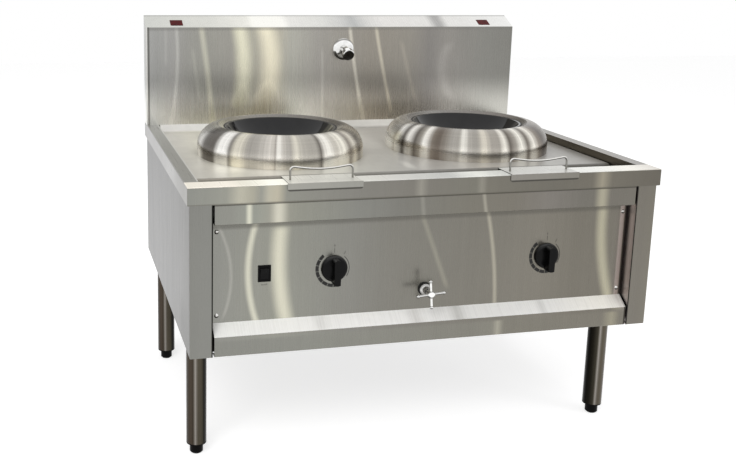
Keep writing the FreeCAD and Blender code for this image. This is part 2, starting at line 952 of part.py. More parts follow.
def make_base_pan():
    body = new_body("base_pan")
    sketch = new_sketch(body, "XY_Plane", "pan_under")
    notch = "pillar_inner - pillar_flange - 2"
    front = "body_front + sheet_gauge"
    shoulder = "fascia_back + sheet_gauge + 1"
    outline(sketch, [
        ("-inner_half", "body_back - sheet_gauge"),
        ("-inner_half", shoulder),
        (f"-({notch})", shoulder),
        (f"-({notch})", front),
        (notch, front),
        (notch, shoulder),
        ("inner_half", shoulder),
        ("inner_half", "body_back - sheet_gauge"),
    ])
    extrude(body, sketch, "sheet_gauge")
    holes = new_sketch(body, "XY_Plane", "pan_under")
    for x in ("-leg_x", "leg_x"):
        for y in ("-leg_y", "leg_y"):
            circle(holes, x, f"middle_y + {y}", "leg_radius")
    circle(holes, "drain_x", "middle_y + drain_y", "drain_radius + pipe_clearance")
    circle(holes, "supply_x", "middle_y + supply_y", "pipe_radius + pipe_clearance")
    circle(holes, "gland_x", "middle_y + gland_y", "10")
    carve(body, holes, "sheet_gauge")
    for x in ("-inverter_offset", "inverter_offset"):
        slot = new_sketch(body, "XY_Plane", "pan_under")
        first_y = "middle_y + fan_y - 44"
        rectangle(slot, (f"{x} - 40", f"{x} + 40"), (first_y, f"{first_y} + 6"))
        first = carve(body, slot, "sheet_gauge")
        repeat_along(body, first, "Y_Axis", "82", "8")
    keep(body, "base_pan")


# ---- legs

def make_leg(name, x, y):
    outer = cylinder(f"{name}_outer", "leg_radius", x, y, "leg_bottom", "leg_top")
    bore = cylinder(f"{name}_bore", "leg_radius - leg_wall", x, y, "leg_bottom", "leg_top")
    keep(cut(name, outer, [bore]), name)


def make_leg_socket(name, x, y):
    # A plate on the base pan with a capped collar that takes the top of the tube.
    body = new_body(f"{name}_socket", x, y, "pan_top")
    plate = new_sketch(body, "XY_Plane")
    rectangle(plate, ("-32", "32"), ("-32", "32"))
    extrude(body, plate, "3")
    collar = new_sketch(body, "XY_Plane")
    circle(collar, "0", "0", "leg_radius + 3")
    extrude(body, collar, "leg_top - pan_top + 3")
    bore = new_sketch(body, "XY_Plane")
    circle(bore, "0", "0", "leg_radius")
    carve(body, bore, "leg_top - pan_top")
    return body


def make_foot_insert(name, x, y):
    body = new_body(f"{name}_insert", x, y)
    plug = "leg_radius - leg_wall"
    revolve(body, [
        ("stud_radius + running_gap", "foot_height"),
        ("leg_radius", "foot_height"),
        ("leg_radius", "leg_bottom"),
        (plug, "leg_bottom"),
        (plug, "leg_bottom + 28"),
        ("stud_radius + running_gap", "leg_bottom + 28"),
    ])
    return body


def make_foot(name, x, y):
    body = new_body(f"foot_{name}", x, y)
    revolve(body, [
        ("0", "0"),
        ("foot_radius - foot_chamfer", "0"),
        ("foot_radius", "foot_chamfer"),
        ("foot_radius", "foot_height - 1.5"),
        ("foot_radius - 1.5", "foot_height"),
        ("stud_radius", "foot_height"),
        ("stud_radius", "stud_top"),
        ("0", "stud_top"),
    ])
    keep(body, f"foot_{name}")


def make_legs():
    sockets = []
    inserts = []
    for depth, y in (("front", "middle_y - leg_y"), ("rear", "middle_y + leg_y")):
        for side, sign in sides:
            name = f"{depth}_{side}"
            x = f"{sign} * leg_x"
            make_leg(f"leg_{name}", x, y)
            sockets.append(make_leg_socket(name, x, y))
            inserts.append(make_foot_insert(name, x, y))
            make_foot(name, x, y)
    keep(group("leg_sockets", sockets), "leg_sockets")
    keep(group("foot_inserts", inserts), "foot_inserts")


# ---- front controls

def make_panel_screws():
    screws = []
    for side, sign in sides:
        for level in ("low", "high"):
            body = new_body(
                f"screw_{side}_{level}", f"{sign} * screw_offset", "fascia_face",
                f"screw_{level}", 90,
            )
            revolve(body, [
                ("0", "-10"),
                ("screw_shank", "-10"),
                ("screw_shank", "0"),
                ("screw_head", "0"),
                ("0", "screw_dome", "(screw_head^2 + screw_dome^2) / (2 * screw_dome)", 1),
            ])
            screws.append(body)
    keep(group("panel_screws", screws), "panel_screws")


def make_knob(side):
    x = f"knob_{side}_x"
    body = new_body(f"knob_{side}", x, "fascia_face", "knob_height", 90)
    revolve(body, [
        ("0", "knob_gap"),
        ("knob_skirt", "knob_gap"),
        ("knob_skirt", "knob_gap + 2.5"),
        ("knob_skirt - 7", "knob_gap + 9.5", "9", 1),
        ("0", "knob_gap + 12"),
    ])
    grip = new_sketch(body, "XY_Plane", "knob_gap + 4")
    half = "grip_width / 2"
    outline(grip, [
        (half, "20"),
        ("0", f"20 + {half}", half, 1),
        (f"-({half})", "20", half, 1),
        (f"-({half} - 1)", "-knob_skirt - 1"),
        (f"{half} - 1", "-knob_skirt - 1", "grip_width", 1),
    ])
    extrude(body, grip, "grip_height - knob_gap - 4")
    recess = new_sketch(body, "XY_Plane", "knob_gap")
    circle(recess, "0", "0", "10")
    carve(body, recess, "5")
    bore = new_sketch(body, "XY_Plane", "knob_gap")
    circle(bore, "0", "0", "spindle_radius")
    carve(body, bore, "19")
    keep(body, f"knob_{side}")

    spindle = new_body(f"knob_spindle_{side}", x, "fascia_face", "knob_height", 90)
    sketch = new_sketch(spindle, "XY_Plane", "-14")
    circle(sketch, "0", "0", "spindle_radius")
    extrude(spindle, sketch, "34")
    keep(spindle, f"knob_spindle_{side}")


def make_power_control(side):
    # The regulator behind the panel, its bush through the panel and its nut in front.
    body = new_body(f"power_control_{side}", f"knob_{side}_x", "fascia_face", "knob_height", 90)
    case = new_sketch(body, "XY_Plane", "-sheet_gauge - 20")
    rectangle(case, ("-22", "22"), ("-22", "22"))
    extrude(body, case, "20")
    bush = new_sketch(body, "XY_Plane", "-sheet_gauge")
    circle(bush, "0", "0", "bush_radius")
    extrude(body, bush, "sheet_gauge + 4")
    nut = new_sketch(body, "XY_Plane")
    corner = [(8 * math.cos(math.radians(60 * turn)), 8 * math.sin(math.radians(60 * turn)))
              for turn in range(6)]
    outline(nut, [(f"{x:.4f}", f"{y:.4f}") for x, y in corner])
    extrude(body, nut, "2.5")
    bore = new_sketch(body, "XY_Plane", "-14")
    circle(bore, "0", "0", "spindle_radius + running_gap")
    carve(body, bore, "20")
    return body


def make_switch():
    housing = new_body("switch_housing", "switch_x", "fascia_face", "switch_height", 90)
    case = new_sketch(housing, "XY_Plane", "-housing_depth")
    rectangle(case, ("-housing_width / 2", "housing_width / 2"),
              ("-housing_tall / 2", "housing_tall / 2"))
    extrude(housing, case, "housing_depth")
    bezel = new_sketch(housing, "XY_Plane")
    rectangle(bezel, ("-bezel_width / 2", "bezel_width / 2"),
              ("-bezel_tall / 2", "bezel_tall / 2"))
    extrude(housing, bezel, "bezel_proud")
    well = new_sketch(housing, "XY_Plane", "-12")
    rectangle(well, ("-rocker_width / 2 - 0.3", "rocker_width / 2 + 0.3"), ("-14.3", "14.3"))
    carve(housing, well, "12 + bezel_proud")
    socket = new_sketch(housing, "YZ_Plane", "-rocker_width / 2 - 1.5")
    circle(socket, "0", "-rocker_pivot", "pivot_radius + running_gap")
    carve(housing, socket, "rocker_width + 3")
    keep(housing, "switch_housing")

    # Stored switched off: the lower end is pressed in.
    rocker = new_body(
        "switch_rocker", "switch_x", "fascia_face + rocker_pivot", "switch_height",
        90 + value("rocker_angle"),
    )
    profile = new_sketch(rocker, "YZ_Plane", "-rocker_width / 2")
    outline(profile, [
        ("-rocker_half", "-2"),
        ("0", "-4"),
        ("rocker_half", "-2"),
        ("rocker_half", "9.5"),
        ("0", "7.6"),
        ("-rocker_half", "9.5"),
    ])
    extrude(rocker, profile, "rocker_width")
    pins = new_sketch(rocker, "YZ_Plane", "-rocker_width / 2 - 1.4")
    circle(pins, "0", "0", "pivot_radius")
    extrude(rocker, pins, "rocker_width + 2.8")
    keep(rocker, "switch_rocker")


def make_tap():
    gasket = new_body("tap_gasket", "tap_x", "fascia_face", "tap_height", 90)
    revolve(gasket, [("11", "0"), ("17", "0"), ("17", "1.2"), ("16", "2.2"), ("11", "2.2")])
    keep(gasket, "tap_gasket")

    valve = new_body("tap_valve", "tap_x", "fascia_face", "tap_height", 90)
    revolve(valve, [
        ("0", "-44"),
        ("11", "-44"),
        ("11", "2.2"),
        ("14", "2.2"),
        ("14", "8"),
        ("9", "12"),
        ("9", "26"),
        ("4 + running_gap", "26"),
        ("4 + running_gap", "-6"),
        ("0", "-6"),
    ])
    port = new_sketch(valve, "XZ_Plane", "-20")
    circle(port, "0", "-24", "9.5")
    extrude(valve, port, "20")
    keep(valve, "tap_valve")

    handle = new_body(
        "tap_handle", "tap_x", "fascia_face", "tap_height", 90, value("tap_turn"),
    )
    revolve(handle, [
        ("0", "-4"),
        ("4", "-4"),
        ("4", "28"),
        ("tap_hub - 2", "28"),
        ("tap_hub", "34"),
        ("tap_hub", "tap_arm_out + 2"),
        ("tap_hub - 4", "tap_arm_out + 6", "4", 1),
        ("0", "tap_arm_out + 6"),
    ])
    arm = new_sketch(handle, "YZ_Plane")
    circle(arm, "0", "tap_arm_out", "tap_arm_radius")
    bar = extrude(handle, arm, "tap_arm_reach")
    ball = new_sketch(handle, "XY_Plane", "tap_arm_out")
    outline(ball, [
        ("tap_arm_reach + tap_ball", "0"),
        ("tap_arm_reach", "tap_ball", "tap_ball", 1),
        ("tap_arm_reach - tap_ball", "0", "tap_ball", 1),
    ])
    end = spin(handle, ball, "H_Axis")
    repeat_round(handle, [bar, end], "4")
    keep(handle, "tap_handle")


# ---- water, drain and mains connections

def make_pipes():
    valve_back = "fascia_face + 44"
    riser = [
        point("tap_x", valve_back, "tap_height"),
        point("tap_x", "middle_y + 250", "tap_height"),
        point("spout_x", "middle_y + riser_y", "tap_height"),
        point("spout_x", "middle_y + riser_y", "spout_height"),
        point("spout_x", "splash_front", "spout_height"),
    ]
    radius = value("pipe_radius")
    bore = radius - 1
    keep(free_shape("riser_pipe", rod_along(riser, [60, 30, 30], radius, bore)), "riser_pipe")
    port_y = "fascia_face + 24"
    supply = [
        point("supply_x", "middle_y + supply_y", "drain_end"),
        point("supply_x", "middle_y + supply_y", "supply_run_height"),
        point("tap_x", port_y, "supply_run_height"),
        point("tap_x", port_y, "tap_height - 20"),
    ]
    inlet = free_shape("supply_tube", rod_along(supply, [30, 14], radius, bore))
    thread = ("supply_x", "middle_y + supply_y", "drain_end", "drain_end + 24")
    sleeve = cylinder("supply_sleeve", "inlet_radius", *thread)
    sleeve_bore = cylinder("supply_sleeve_bore", "pipe_radius - 0.5", *thread)
    fitted = fuse("supply_fitted", [inlet, cut("supply_thread", sleeve, [sleeve_bore])])
    keep(fitted, "supply_pipe")


def make_drain_pipe():
    place_at = ("drain_x", "middle_y + drain_y", "drain_end", "gutter_floor")
    outer = cylinder("drain_outer", "drain_radius", *place_at)
    bore = cylinder("drain_bore", "drain_radius - sheet_gauge", *place_at)
    thread_at = place_at[:2] + ("drain_end", "drain_end + 22")
    thread = cylinder("drain_thread", "outlet_radius", *thread_at)
    keep(cut("drain_pipe", fuse("drain_outside", [outer, thread]), [bore]), "drain_pipe")


def make_cable_gland():
    body = new_body("cable_gland", "gland_x", "middle_y + gland_y")
    revolve(body, [
        ("6.5", "drain_end + 6"),
        ("10", "drain_end + 6"),
        ("14", "drain_end + 12"),
        ("14", "pan_under"),
        ("10", "pan_under"),
        ("10", "pan_top"),
        ("15", "pan_top"),
        ("15", "pan_top + 5"),
        ("10", "pan_top + 5"),
        ("10", "pan_top + 14"),
        ("6.5", "pan_top + 14"),
    ])
    keep(body, "cable_gland")


# ---- power modules and fans

def make_inverter(side, sign):
    body = new_body(f"inverter_{side}", f"{sign} * inverter_offset", "middle_y", "pan_top")
    base = new_sketch(body, "XY_Plane")
    half = "inverter_width / 2"
    rectangle(base, (f"-({half})", half), ("inverter_front", "inverter_back"))
    extrude(body, base, "inverter_base")
    fin = new_sketch(body, "XY_Plane", "inverter_base")
    rectangle(fin, (f"-({half}) + 4", f"-({half}) + 4 + fin_gauge"),
              ("inverter_front + 10", "inverter_back - 10"))
    first = extrude(body, fin, "fin_height")
    repeat_along(body, first, "X_Axis", "inverter_width - 8 - fin_gauge", "fin_count")
    keep(body, f"inverter_{side}")


def make_fan_frame(side, sign):
    body = new_body(f"fan_frame_{side}", f"{sign} * inverter_offset", "middle_y + fan_y",
                    "pan_top")
    half = "fan_size / 2"
    frame = new_sketch(body, "XY_Plane")
    rectangle(frame, (f"-({half})", half), (f"-({half})", half))
    extrude(body, frame, "fan_depth")
    bore = new_sketch(body, "XY_Plane")
    circle(bore, "0", "0", "fan_bore")
    carve(body, bore, "fan_depth")
    for x, y in ((half, "2"), ("2", half)):
        strut = new_sketch(body, "XY_Plane")
        rectangle(strut, (f"-({x})", x), (f"-({y})", y))
        extrude(body, strut, "5")
    for radius, height in (("fan_hub", "6"), ("spindle_radius", "30")):
        disc = new_sketch(body, "XY_Plane")
        circle(disc, "0", "0", radius)
        extrude(body, disc, height)
    return body


def make_fan_rotor(side, sign):
    body = new_body(f"fan_rotor_{side}", f"{sign} * inverter_offset", "middle_y + fan_y",
                    "pan_top")
    revolve(body, [
        ("spindle_radius + running_gap", "7"),
        ("fan_hub", "7"),
        ("fan_hub", "32"),
        ("fan_hub - 2", "34"),
        ("spindle_radius + running_gap", "34"),
    ])
    blade = new_sketch(body, "XZ_Plane", "fan_hub - 2")
    outline(blade, [("-13", "10"), ("-10", "10"), ("13", "31"), ("10", "31")])
    first = extrude(body, blade, "blade_tip - fan_hub + 2")
    repeat_round(body, [first], "blade_count")
    keep(body, f"fan_rotor_{side}")


# ---- gutter strainers

def make_strainer(side, sign):
    # A saddle over the front rim, its front lip, and a slotted basket hung in the gutter.
    body = new_body(f"strainer_{side}", f"{sign} * strainer_offset", "middle_y")
    lip_back = "front_y - middle_y - strainer_front_gap"
    lip_front = f"{lip_back} - sheet_gauge"
    saddle_top = "rim_height + sheet_gauge"
    floor_top = "basket_floor + sheet_gauge"
    wall_front = "basket_front + sheet_gauge"
    wall_back = "basket_back - sheet_gauge"
    sheet_line = new_sketch(body, "YZ_Plane", "-strainer_half")
    outline(sheet_line, [
        (lip_back, "rim_height"),
        (lip_back, saddle_top),
        (wall_front, saddle_top),
        (wall_front, floor_top),
        (wall_back, floor_top),
        (wall_back, "basket_back_top"),
        ("basket_back", "basket_back_top"),
        ("basket_back", "basket_floor"),
        ("basket_front", "basket_floor"),
        ("basket_front", "rim_height"),
    ])
    extrude(body, sheet_line, "2 * strainer_half")
    lip = new_sketch(body, "YZ_Plane", "-strainer_lip_half")
    rectangle(lip, (lip_front, lip_back), ("strainer_lip_bottom", saddle_top))
    extrude(body, lip, "2 * strainer_lip_half")
    round_edges(
        body, "6",
        {"x": "-strainer_lip_half", "z": "strainer_lip_bottom"},
        {"x": "strainer_lip_half", "z": "strainer_lip_bottom"},
    )
    for start in ("-strainer_half", "strainer_half - sheet_gauge"):
        wall = new_sketch(body, "YZ_Plane", start)
        rectangle(wall, (wall_front, wall_back), (floor_top, "basket_back_top"))
        extrude(body, wall, "sheet_gauge")
    slot = new_sketch(body, "XY_Plane", "basket_floor")
    first_slot = ("-strainer_half + 10", "-strainer_half + 14")
    rectangle(slot, first_slot, (f"{wall_front} + 10", f"{wall_back} - 8"))
    first = carve(body, slot, "sheet_gauge")
    repeat_along(body, first, "X_Axis", "2 * strainer_half - 24", "14")
    slot = new_sketch(body, "XZ_Plane", wall_back)
    rectangle(slot, first_slot, (f"{floor_top} + 10", "basket_back_top - 12"))
    first = carve(body, slot, "sheet_gauge")
    repeat_along(body, first, "X_Axis", "2 * strainer_half - 24", "14")
    keep(body, f"strainer_{side}")


def make_strainer_handle(side, sign):
    middle = f"{sign} * strainer_offset"
    y = "middle_y + handle_y"
    foot = "rim_height + sheet_gauge"
    top = f"{foot} + handle_height"
    points = [
        point(f"{middle} - handle_half", y, foot),
        point(f"{middle} - handle_half", y, top),
        point(middle, y, f"{top} - handle_dip"),
        point(f"{middle} + handle_half", y, top),
        point(f"{middle} + handle_half", y, foot),
    ]
    wire = rod_along(points, [9, 300, 9], value("wire_radius"))
    keep(free_shape(f"strainer_handle_{side}", wire), f"strainer_handle_{side}")


def write_parts():
    document.recompute()
    for item in document.Objects:
        for problem in ("Invalid", "Error"):
            if problem in item.State:
                raise ValueError(f"{item.Name}: {item.State}")
    os.makedirs("parts", exist_ok=True)
    for item in nodes:
        shape = item.Shape
        if shape.isNull() or not shape.isValid():
            raise ValueError(f"{item.Label} has no valid shape")
        shape.exportStep(f"parts/{item.Label}.step")
        print(f"{item.Label}: {len(shape.Solids)} solid(s), {shape.Volume / 1000:.1f} cm3")


make_top_frame()
make_deck_plate()
make_gutter_channel()
for side, sign in sides:
    make_wok_ring(side, sign)
    make_ceramic_bowl(side, sign)
    make_coil_carrier(side, sign)
    make_pillar(side, sign)
    make_side_panel(side, sign)
make_bowl_seals()
make_induction_coils()
make_splash_casing()
make_displays()
make_splash_rear_cover()
make_spout()
make_fascia_panel()
make_top_band()
make_rear_panel()
make_base_pan()
make_legs()
make_panel_screws()
for side, sign in sides:
    make_knob(side)
keep(group("power_controls", [make_power_control(side) for side, sign in sides]),
     "power_controls")
make_switch()
make_tap()
make_pipes()
make_drain_pipe()
make_cable_gland()
for side, sign in sides:
    make_inverter(side, sign)
    make_fan_rotor(side, sign)
    make_strainer(side, sign)
    make_strainer_handle(side, sign)
keep(group("fan_frames", [make_fan_frame(side, sign) for side, sign in sides]), "fan_frames")
write_parts()
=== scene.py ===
import math
import bmesh
import bpy
from mathutils import Matrix, Vector


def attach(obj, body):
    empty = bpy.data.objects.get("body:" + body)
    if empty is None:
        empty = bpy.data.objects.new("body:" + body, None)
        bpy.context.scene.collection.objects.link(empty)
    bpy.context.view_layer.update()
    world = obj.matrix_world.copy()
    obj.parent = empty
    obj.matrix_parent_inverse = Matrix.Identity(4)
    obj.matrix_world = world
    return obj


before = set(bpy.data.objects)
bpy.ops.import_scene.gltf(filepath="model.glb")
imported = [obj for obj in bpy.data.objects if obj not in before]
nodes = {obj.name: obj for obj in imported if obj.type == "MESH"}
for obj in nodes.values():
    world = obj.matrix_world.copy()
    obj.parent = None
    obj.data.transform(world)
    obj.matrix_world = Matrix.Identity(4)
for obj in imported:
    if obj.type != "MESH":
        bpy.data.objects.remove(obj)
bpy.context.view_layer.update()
sides = ("left", "right")
print("frame loaded:", len(nodes), "nodes")


# small helpers

white = (1, 1, 1, 1)


def mm(value):
    return value / 1000


# linear values of an sRGB colour
def toLinear(hexColour):
    channels = [int(hexColour[i:i + 2], 16) / 255 for i in (1, 3, 5)]
    return [c / 12.92 if c <= 0.04045 else ((c + 0.055) / 1.055) ** 2.4 for c in channels] + [1]


# adds a node; lower-case names are its settings, with stops for a ramp's colours, and the others are its
# sockets, each given a value or a link
def addNode(tree, kind, values={}):
    node = tree.nodes.new("ShaderNode" + kind)
    for name, value in values.items():
        if name == "stops":
            ramp = node.color_ramp
            for index, (place, colour) in enumerate(value):
                stop = ramp.elements[index] if index < 2 else ramp.elements.new(place)
                stop.position = place
                stop.color = toLinear(colour)
        elif isinstance(name, str) and name.islower():
            setattr(node, name, value)
        elif isinstance(value, bpy.types.NodeSocket):
            tree.links.new(value, node.inputs[name])
        else:
            node.inputs[name].default_value = value
    return node


# settings that several nodes share
times = {"operation": "MULTIPLY"}
softly = {"interpolation_type": "SMOOTHSTEP"}
colourMix = {"data_type": "RGBA"}                # its sockets: 0 the share, 6 and 7 the colours
noiseSpan = {"From Min": 0.3, "From Max": 0.7}   # where nearly all values of a noise lie


def newMaterial(name):
    material = bpy.data.materials.new(name)
    material.use_nodes = True
    material.node_tree.nodes.clear()
    return material, material.node_tree


def giveMaterial(piece, material):
    piece.data.materials.clear()
    piece.data.materials.append(material)


# camera: the photograph's viewing angle, for a 736 x 460 picture
camera = {
    "place": (-0.90373, -2.50607, 1.22428),
    "yaw": 0.22858,
    "pitch": 0.19628,
    "roll": 0.01324,
    "lens": 46.87,
    "sensor": 36,
    "shift": (0.1406, -0.1087),
    "reach": 50,
}


def makeCamera(spec):
    yaw, pitch, roll = spec["yaw"], spec["pitch"], spec["roll"]
    forward = Vector((math.sin(yaw) * math.cos(pitch), math.cos(yaw) * math.cos(pitch), -math.sin(pitch)))
    right = Vector((math.cos(yaw), -math.sin(yaw), 0))
    up = right.cross(forward)
    across = right * math.cos(roll) + up * math.sin(roll)
    upright = up * math.cos(roll) - right * math.sin(roll)
    data = bpy.data.cameras.new("camera")
    data.sensor_width = spec["sensor"]
    data.lens = spec["lens"]
    data.shift_x, data.shift_y = spec["shift"]
    data.clip_end = spec["reach"]
    eye = bpy.data.objects.new("camera", data)
    turned = Matrix((across, upright, -forward)).transposed().to_4x4()
    eye.matrix_world = Matrix.Translation(spec["place"]) @ turned
    bpy.context.scene.collection.objects.link(eye)
    bpy.context.scene.camera = eye


makeCamera(camera)


# studio: white floor and surround, soft lamps
studio = {
    "floorHalf": 9.0,
    "floorSegments": 8,
    "floorColour": "#c8c8c8",
    "floorRoughness": 0.6,
    "floorGlow": 0.66,   # added for the camera and for gloss, so that the floor reads white
    "ambient": 0.55,
    "lamps": [
        # name, place, aims at, width, height, watts
        ("keyLamp", (-1.8, -2.6, 2.7), (0, -0.1, 0.6), 1.8, 1.4, 46),
        ("fillLamp", (2.8, -2.2, 2.0), (0.2, 0, 0.6), 1.6, 1.6, 20),
        ("topLamp", (0.2, 0.3, 3.2), (0, 0, 0.7), 2.4, 1.6, 42),
    ],
}


# 1 for the rays that show the background: seen directly, in gloss or through glass
def shownShare(tree):
    rays = addNode(tree, "LightPath").outputs
    seen = addNode(tree, "Math", {"operation": "MAXIMUM", 0: rays["Is Camera Ray"], 1: rays["Is Glossy Ray"]})
    shown = {"operation": "MAXIMUM", 0: seen.outputs[0], 1: rays["Is Transmission Ray"]}
    return addNode(tree, "Math", shown).outputs[0]


def makeFloor(spec):
    shape = bmesh.new()
    segments = spec["floorSegments"]
    bmesh.ops.create_grid(shape, x_segments=segments, y_segments=segments, size=spec["floorHalf"])
    mesh = bpy.data.meshes.new("floor")
    shape.to_mesh(mesh)
    shape.free()
    floor = bpy.data.objects.new("floor", mesh)
    bpy.context.scene.collection.objects.link(floor)
    # matt painted studio floor: even and shadowless but for the object's own shadow
    material, tree = newMaterial("mattStudioFloor")
    glow = addNode(tree, "Math", {**times, 0: shownShare(tree), 1: spec["floorGlow"]})
    coat = {"Color": toLinear(spec["floorColour"]), "Roughness": spec["floorRoughness"]}
    paint = addNode(tree, "BsdfDiffuse", coat)
    shine = addNode(tree, "Emission", {"Color": white, "Strength": glow.outputs[0]})
    both = addNode(tree, "AddShader", {0: paint.outputs[0], 1: shine.outputs[0]})
    addNode(tree, "OutputMaterial", {"Surface": both.outputs[0]})
    giveMaterial(floor, material)


def makeSurround(spec):
    world = bpy.data.worlds.new("surround")
    world.use_nodes = True
    bpy.context.scene.world = world
    tree = world.node_tree
    tree.nodes.clear()
    strength = addNode(tree, "MapRange", {"To Min": spec["ambient"], "Value": shownShare(tree)})
    light = addNode(tree, "Background", {"Color": white, "Strength": strength.outputs[0]})
    addNode(tree, "OutputWorld", {"Surface": light.outputs[0]})


def makeLamps(spec):
    for name, place, target, width, height, watts in spec["lamps"]:
        data = bpy.data.lights.new(name, "AREA")
        data.shape = "RECTANGLE"
        data.size = width
        data.size_y = height
        data.energy = watts
        lamp = bpy.data.objects.new(name, data)
        lamp.location = place
        lamp.visible_glossy = False   # the steel mirrors its painted tones, not the lamps
        lamp.rotation_euler = (Vector(target) - Vector(place)).to_track_quat("-Z", "Y").to_euler()
        bpy.context.scene.collection.objects.link(lamp)


makeFloor(studio)
makeSurround(studio)
makeLamps(studio)
bpy.context.scene.view_settings.view_transform = "Standard"
print("camera, floor and lamps set")


# tones painted by place: what a sheet mirrors, and the shade and highlights on it, are painted as soft ramps,
# streaks, zones and patches, so that they stay where the sheet's own waviness puts them

streakFade = 14    # mm, how softly a painted highlight streak starts and ends
patchCore = 0.25   # share of a painted reflection patch's half width that has its full tone
brightest = 0.97   # of white, for a painted tone


# a tone that changes along a coordinate, given as (place, colour), the places in the given unit
def toneAlong(tree, coordinate, tones, unit=mm(1)):
    start, end = tones[0][0], tones[-1][0]
    share = addNode(tree, "MapRange", {"From Min": start * unit, "From Max": end * unit, "Value": coordinate})
    stops = [((place - start) / (end - start), colour) for place, colour in tones]
    return addNode(tree, "ValToRGB", {"stops": stops, "Fac": share.outputs[0]}).outputs["Color"]


# a strength inside a span of a coordinate, with soft ends, in mm
def spanMask(tree, coordinate, low, high, soft, strength):
    for start, end in ((low - soft, low + soft), (high + soft, high - soft)):
        edge = {**softly, "From Min": mm(start), "From Max": mm(end), "Value": coordinate}
        inside = addNode(tree, "MapRange", edge).outputs[0]
        strength = addNode(tree, "Math", {**times, 0: strength, 1: inside}).outputs[0]
    return strength


# a painted highlight streak that bends through three (x, height) points, from the top down, in mm
def paintHighlightStreak(tree, colour, across, height, path, half, tone, strength):
    (x1, z1), (x2, z2), (x3, z3) = path
    bend = ((x1 - x2) / (z1 - z2) - (x2 - x3) / (z2 - z3)) / (z1 - z3)
    lean = (x1 - x2) / (z1 - z2) - bend * (z1 + z2)
    start = x1 - lean * z1 - bend * z1 ** 2
    slope = addNode(tree, "Math", {"operation": "MULTIPLY_ADD", 0: height, 1: bend / mm(1), 2: lean})
    line = addNode(tree, "Math", {"operation": "MULTIPLY_ADD", 0: height, 1: slope.outputs[0], 2: mm(start)})
    off = addNode(tree, "Math", {"operation": "SUBTRACT", 0: across, 1: line.outputs[0]})
    far = addNode(tree, "Math", {"operation": "ABSOLUTE", 0: off.outputs[0]})
    rise = {**softly, "From Min": mm(half), "From Max": 0.0, "To Max": strength}
    near = addNode(tree, "MapRange", {**rise, "Value": far.outputs[0]}).outputs[0]
    share = spanMask(tree, height, z3 - streakFade, z1 + streakFade, streakFade, near)
    return addNode(tree, "Mix", {**colourMix, 0: share, 6: colour, 7: toLinear(tone)}).outputs[2]


# a soft oval patch of painted reflection: centre and half widths in mm
def paintReflectionPatch(tree, colour, spot, centre, halves, tone, strength):
    place = {"vector_type": "TEXTURE", "Location": [mm(c) for c in centre], "Scale": [mm(h) for h in halves]}
    local = addNode(tree, "Mapping", {**place, 0: spot})
    far = addNode(tree, "VectorMath", {"operation": "LENGTH", 0: local.outputs[0]})
    rise = {**softly, "From Min": 1.0, "From Max": patchCore, "To Max": strength}
    near = addNode(tree, "MapRange", {**rise, "Value": far.outputs["Value"]}).outputs[0]
    return addNode(tree, "Mix", {**colourMix, 0: near, 6: colour, 7: toLinear(tone)}).outputs[2]


# a noise whose cells have the given sizes in mm
def pattern(tree, spot, cell, detail):
    spread = addNode(tree, "Mapping", {"Scale": [1 / mm(size) for size in cell], 0: spot})
    noise = {"Scale": 1.0, "Detail": detail, "Roughness": 0.6, "Vector": spread.outputs[0]}
    return addNode(tree, "TexNoise", noise).outputs[0]


# the colour times noises, each brought to its own span, and times factors; it is held below white without
# changing its hue, by its red, which is the highest channel of nearly all tones
def shaded(tree, colour, swings, factors):
    shade = 1.0
    for noise, low, high in swings:
        swing = addNode(tree, "MapRange", {**noiseSpan, "To Min": low, "To Max": high, "Value": noise})
        shade = addNode(tree, "Math", {**times, 0: shade, 1: swing.outputs[0]}).outputs[0]
    for factor in factors:
        shade = addNode(tree, "Math", {**times, 0: shade, 1: factor}).outputs[0]
    red = addNode(tree, "SeparateColor", {0: colour}).outputs[0]
    room = addNode(tree, "Math", {"operation": "DIVIDE", 0: brightest, 1: red})
    held = addNode(tree, "Math", {"operation": "MINIMUM", 0: shade, 1: room.outputs[0]})
    return addNode(tree, "VectorMath", {"operation": "SCALE", 0: colour, "Scale": held.outputs[0]}).outputs[0]


bumpHeight = mm(0.1)
usualBump = 0.02   # share of that height, where a finish doesn't give its own


# the shader: the grain's height also drives the roughness and a fine bump
def finishSurface(tree, colour, height, finish, metal=1.0):
    smoothest, roughest = finish["roughness"]
    gloss = {**noiseSpan, "To Min": smoothest, "To Max": roughest, "Value": height}
    relief = {"Strength": finish.get("bump", usualBump), "Distance": bumpHeight, "Height": height}
    look = {"Base Color": colour, "Metallic": metal}
    look["Roughness"] = addNode(tree, "MapRange", gloss).outputs[0]
    look["Normal"] = addNode(tree, "Bump", relief).outputs[0]
    if "specular" in finish:
        look["Specular IOR Level"] = finish["specular"]
    body = addNode(tree, "BsdfPrincipled", look)
    addNode(tree, "OutputMaterial", {"Surface": body.outputs[0]})


# which part of the normal tells a face, and the values at which its mask starts and is full
faces = {"left": (0, -0.5, -0.85), "right": (0, 0.5, 0.85), "front": (1, -0.5, -0.8), "top": (2, 0.3, 0.8)}


def faceMasks(tree, facing):
    masks = {"any": 1.0}
    for face, (part, start, full) in faces.items():
        rise = {**softly, "From Min": start, "From Max": full, "Value": facing[part]}
        masks[face] = addNode(tree, "MapRange", rise).outputs[0]
    either = {"operation": "MAXIMUM", 0: masks["left"], 1: masks["right"]}
    masks["side"] = addNode(tree, "Math", either).outputs[0]
    return masks


# the sheets' patterns: cell in mm and detail; the grain is coarser than the real one so that it shows
sheetPatterns = {
    "sway": ((420, 420, 160), 1.0),
    "bands": ((14, 14, 800), 3.0),
    "clouds": ((60, 60, 90), 2.0),
    "grain": ((2, 240, 240), 3.0),
}
grainSwing = 0.01


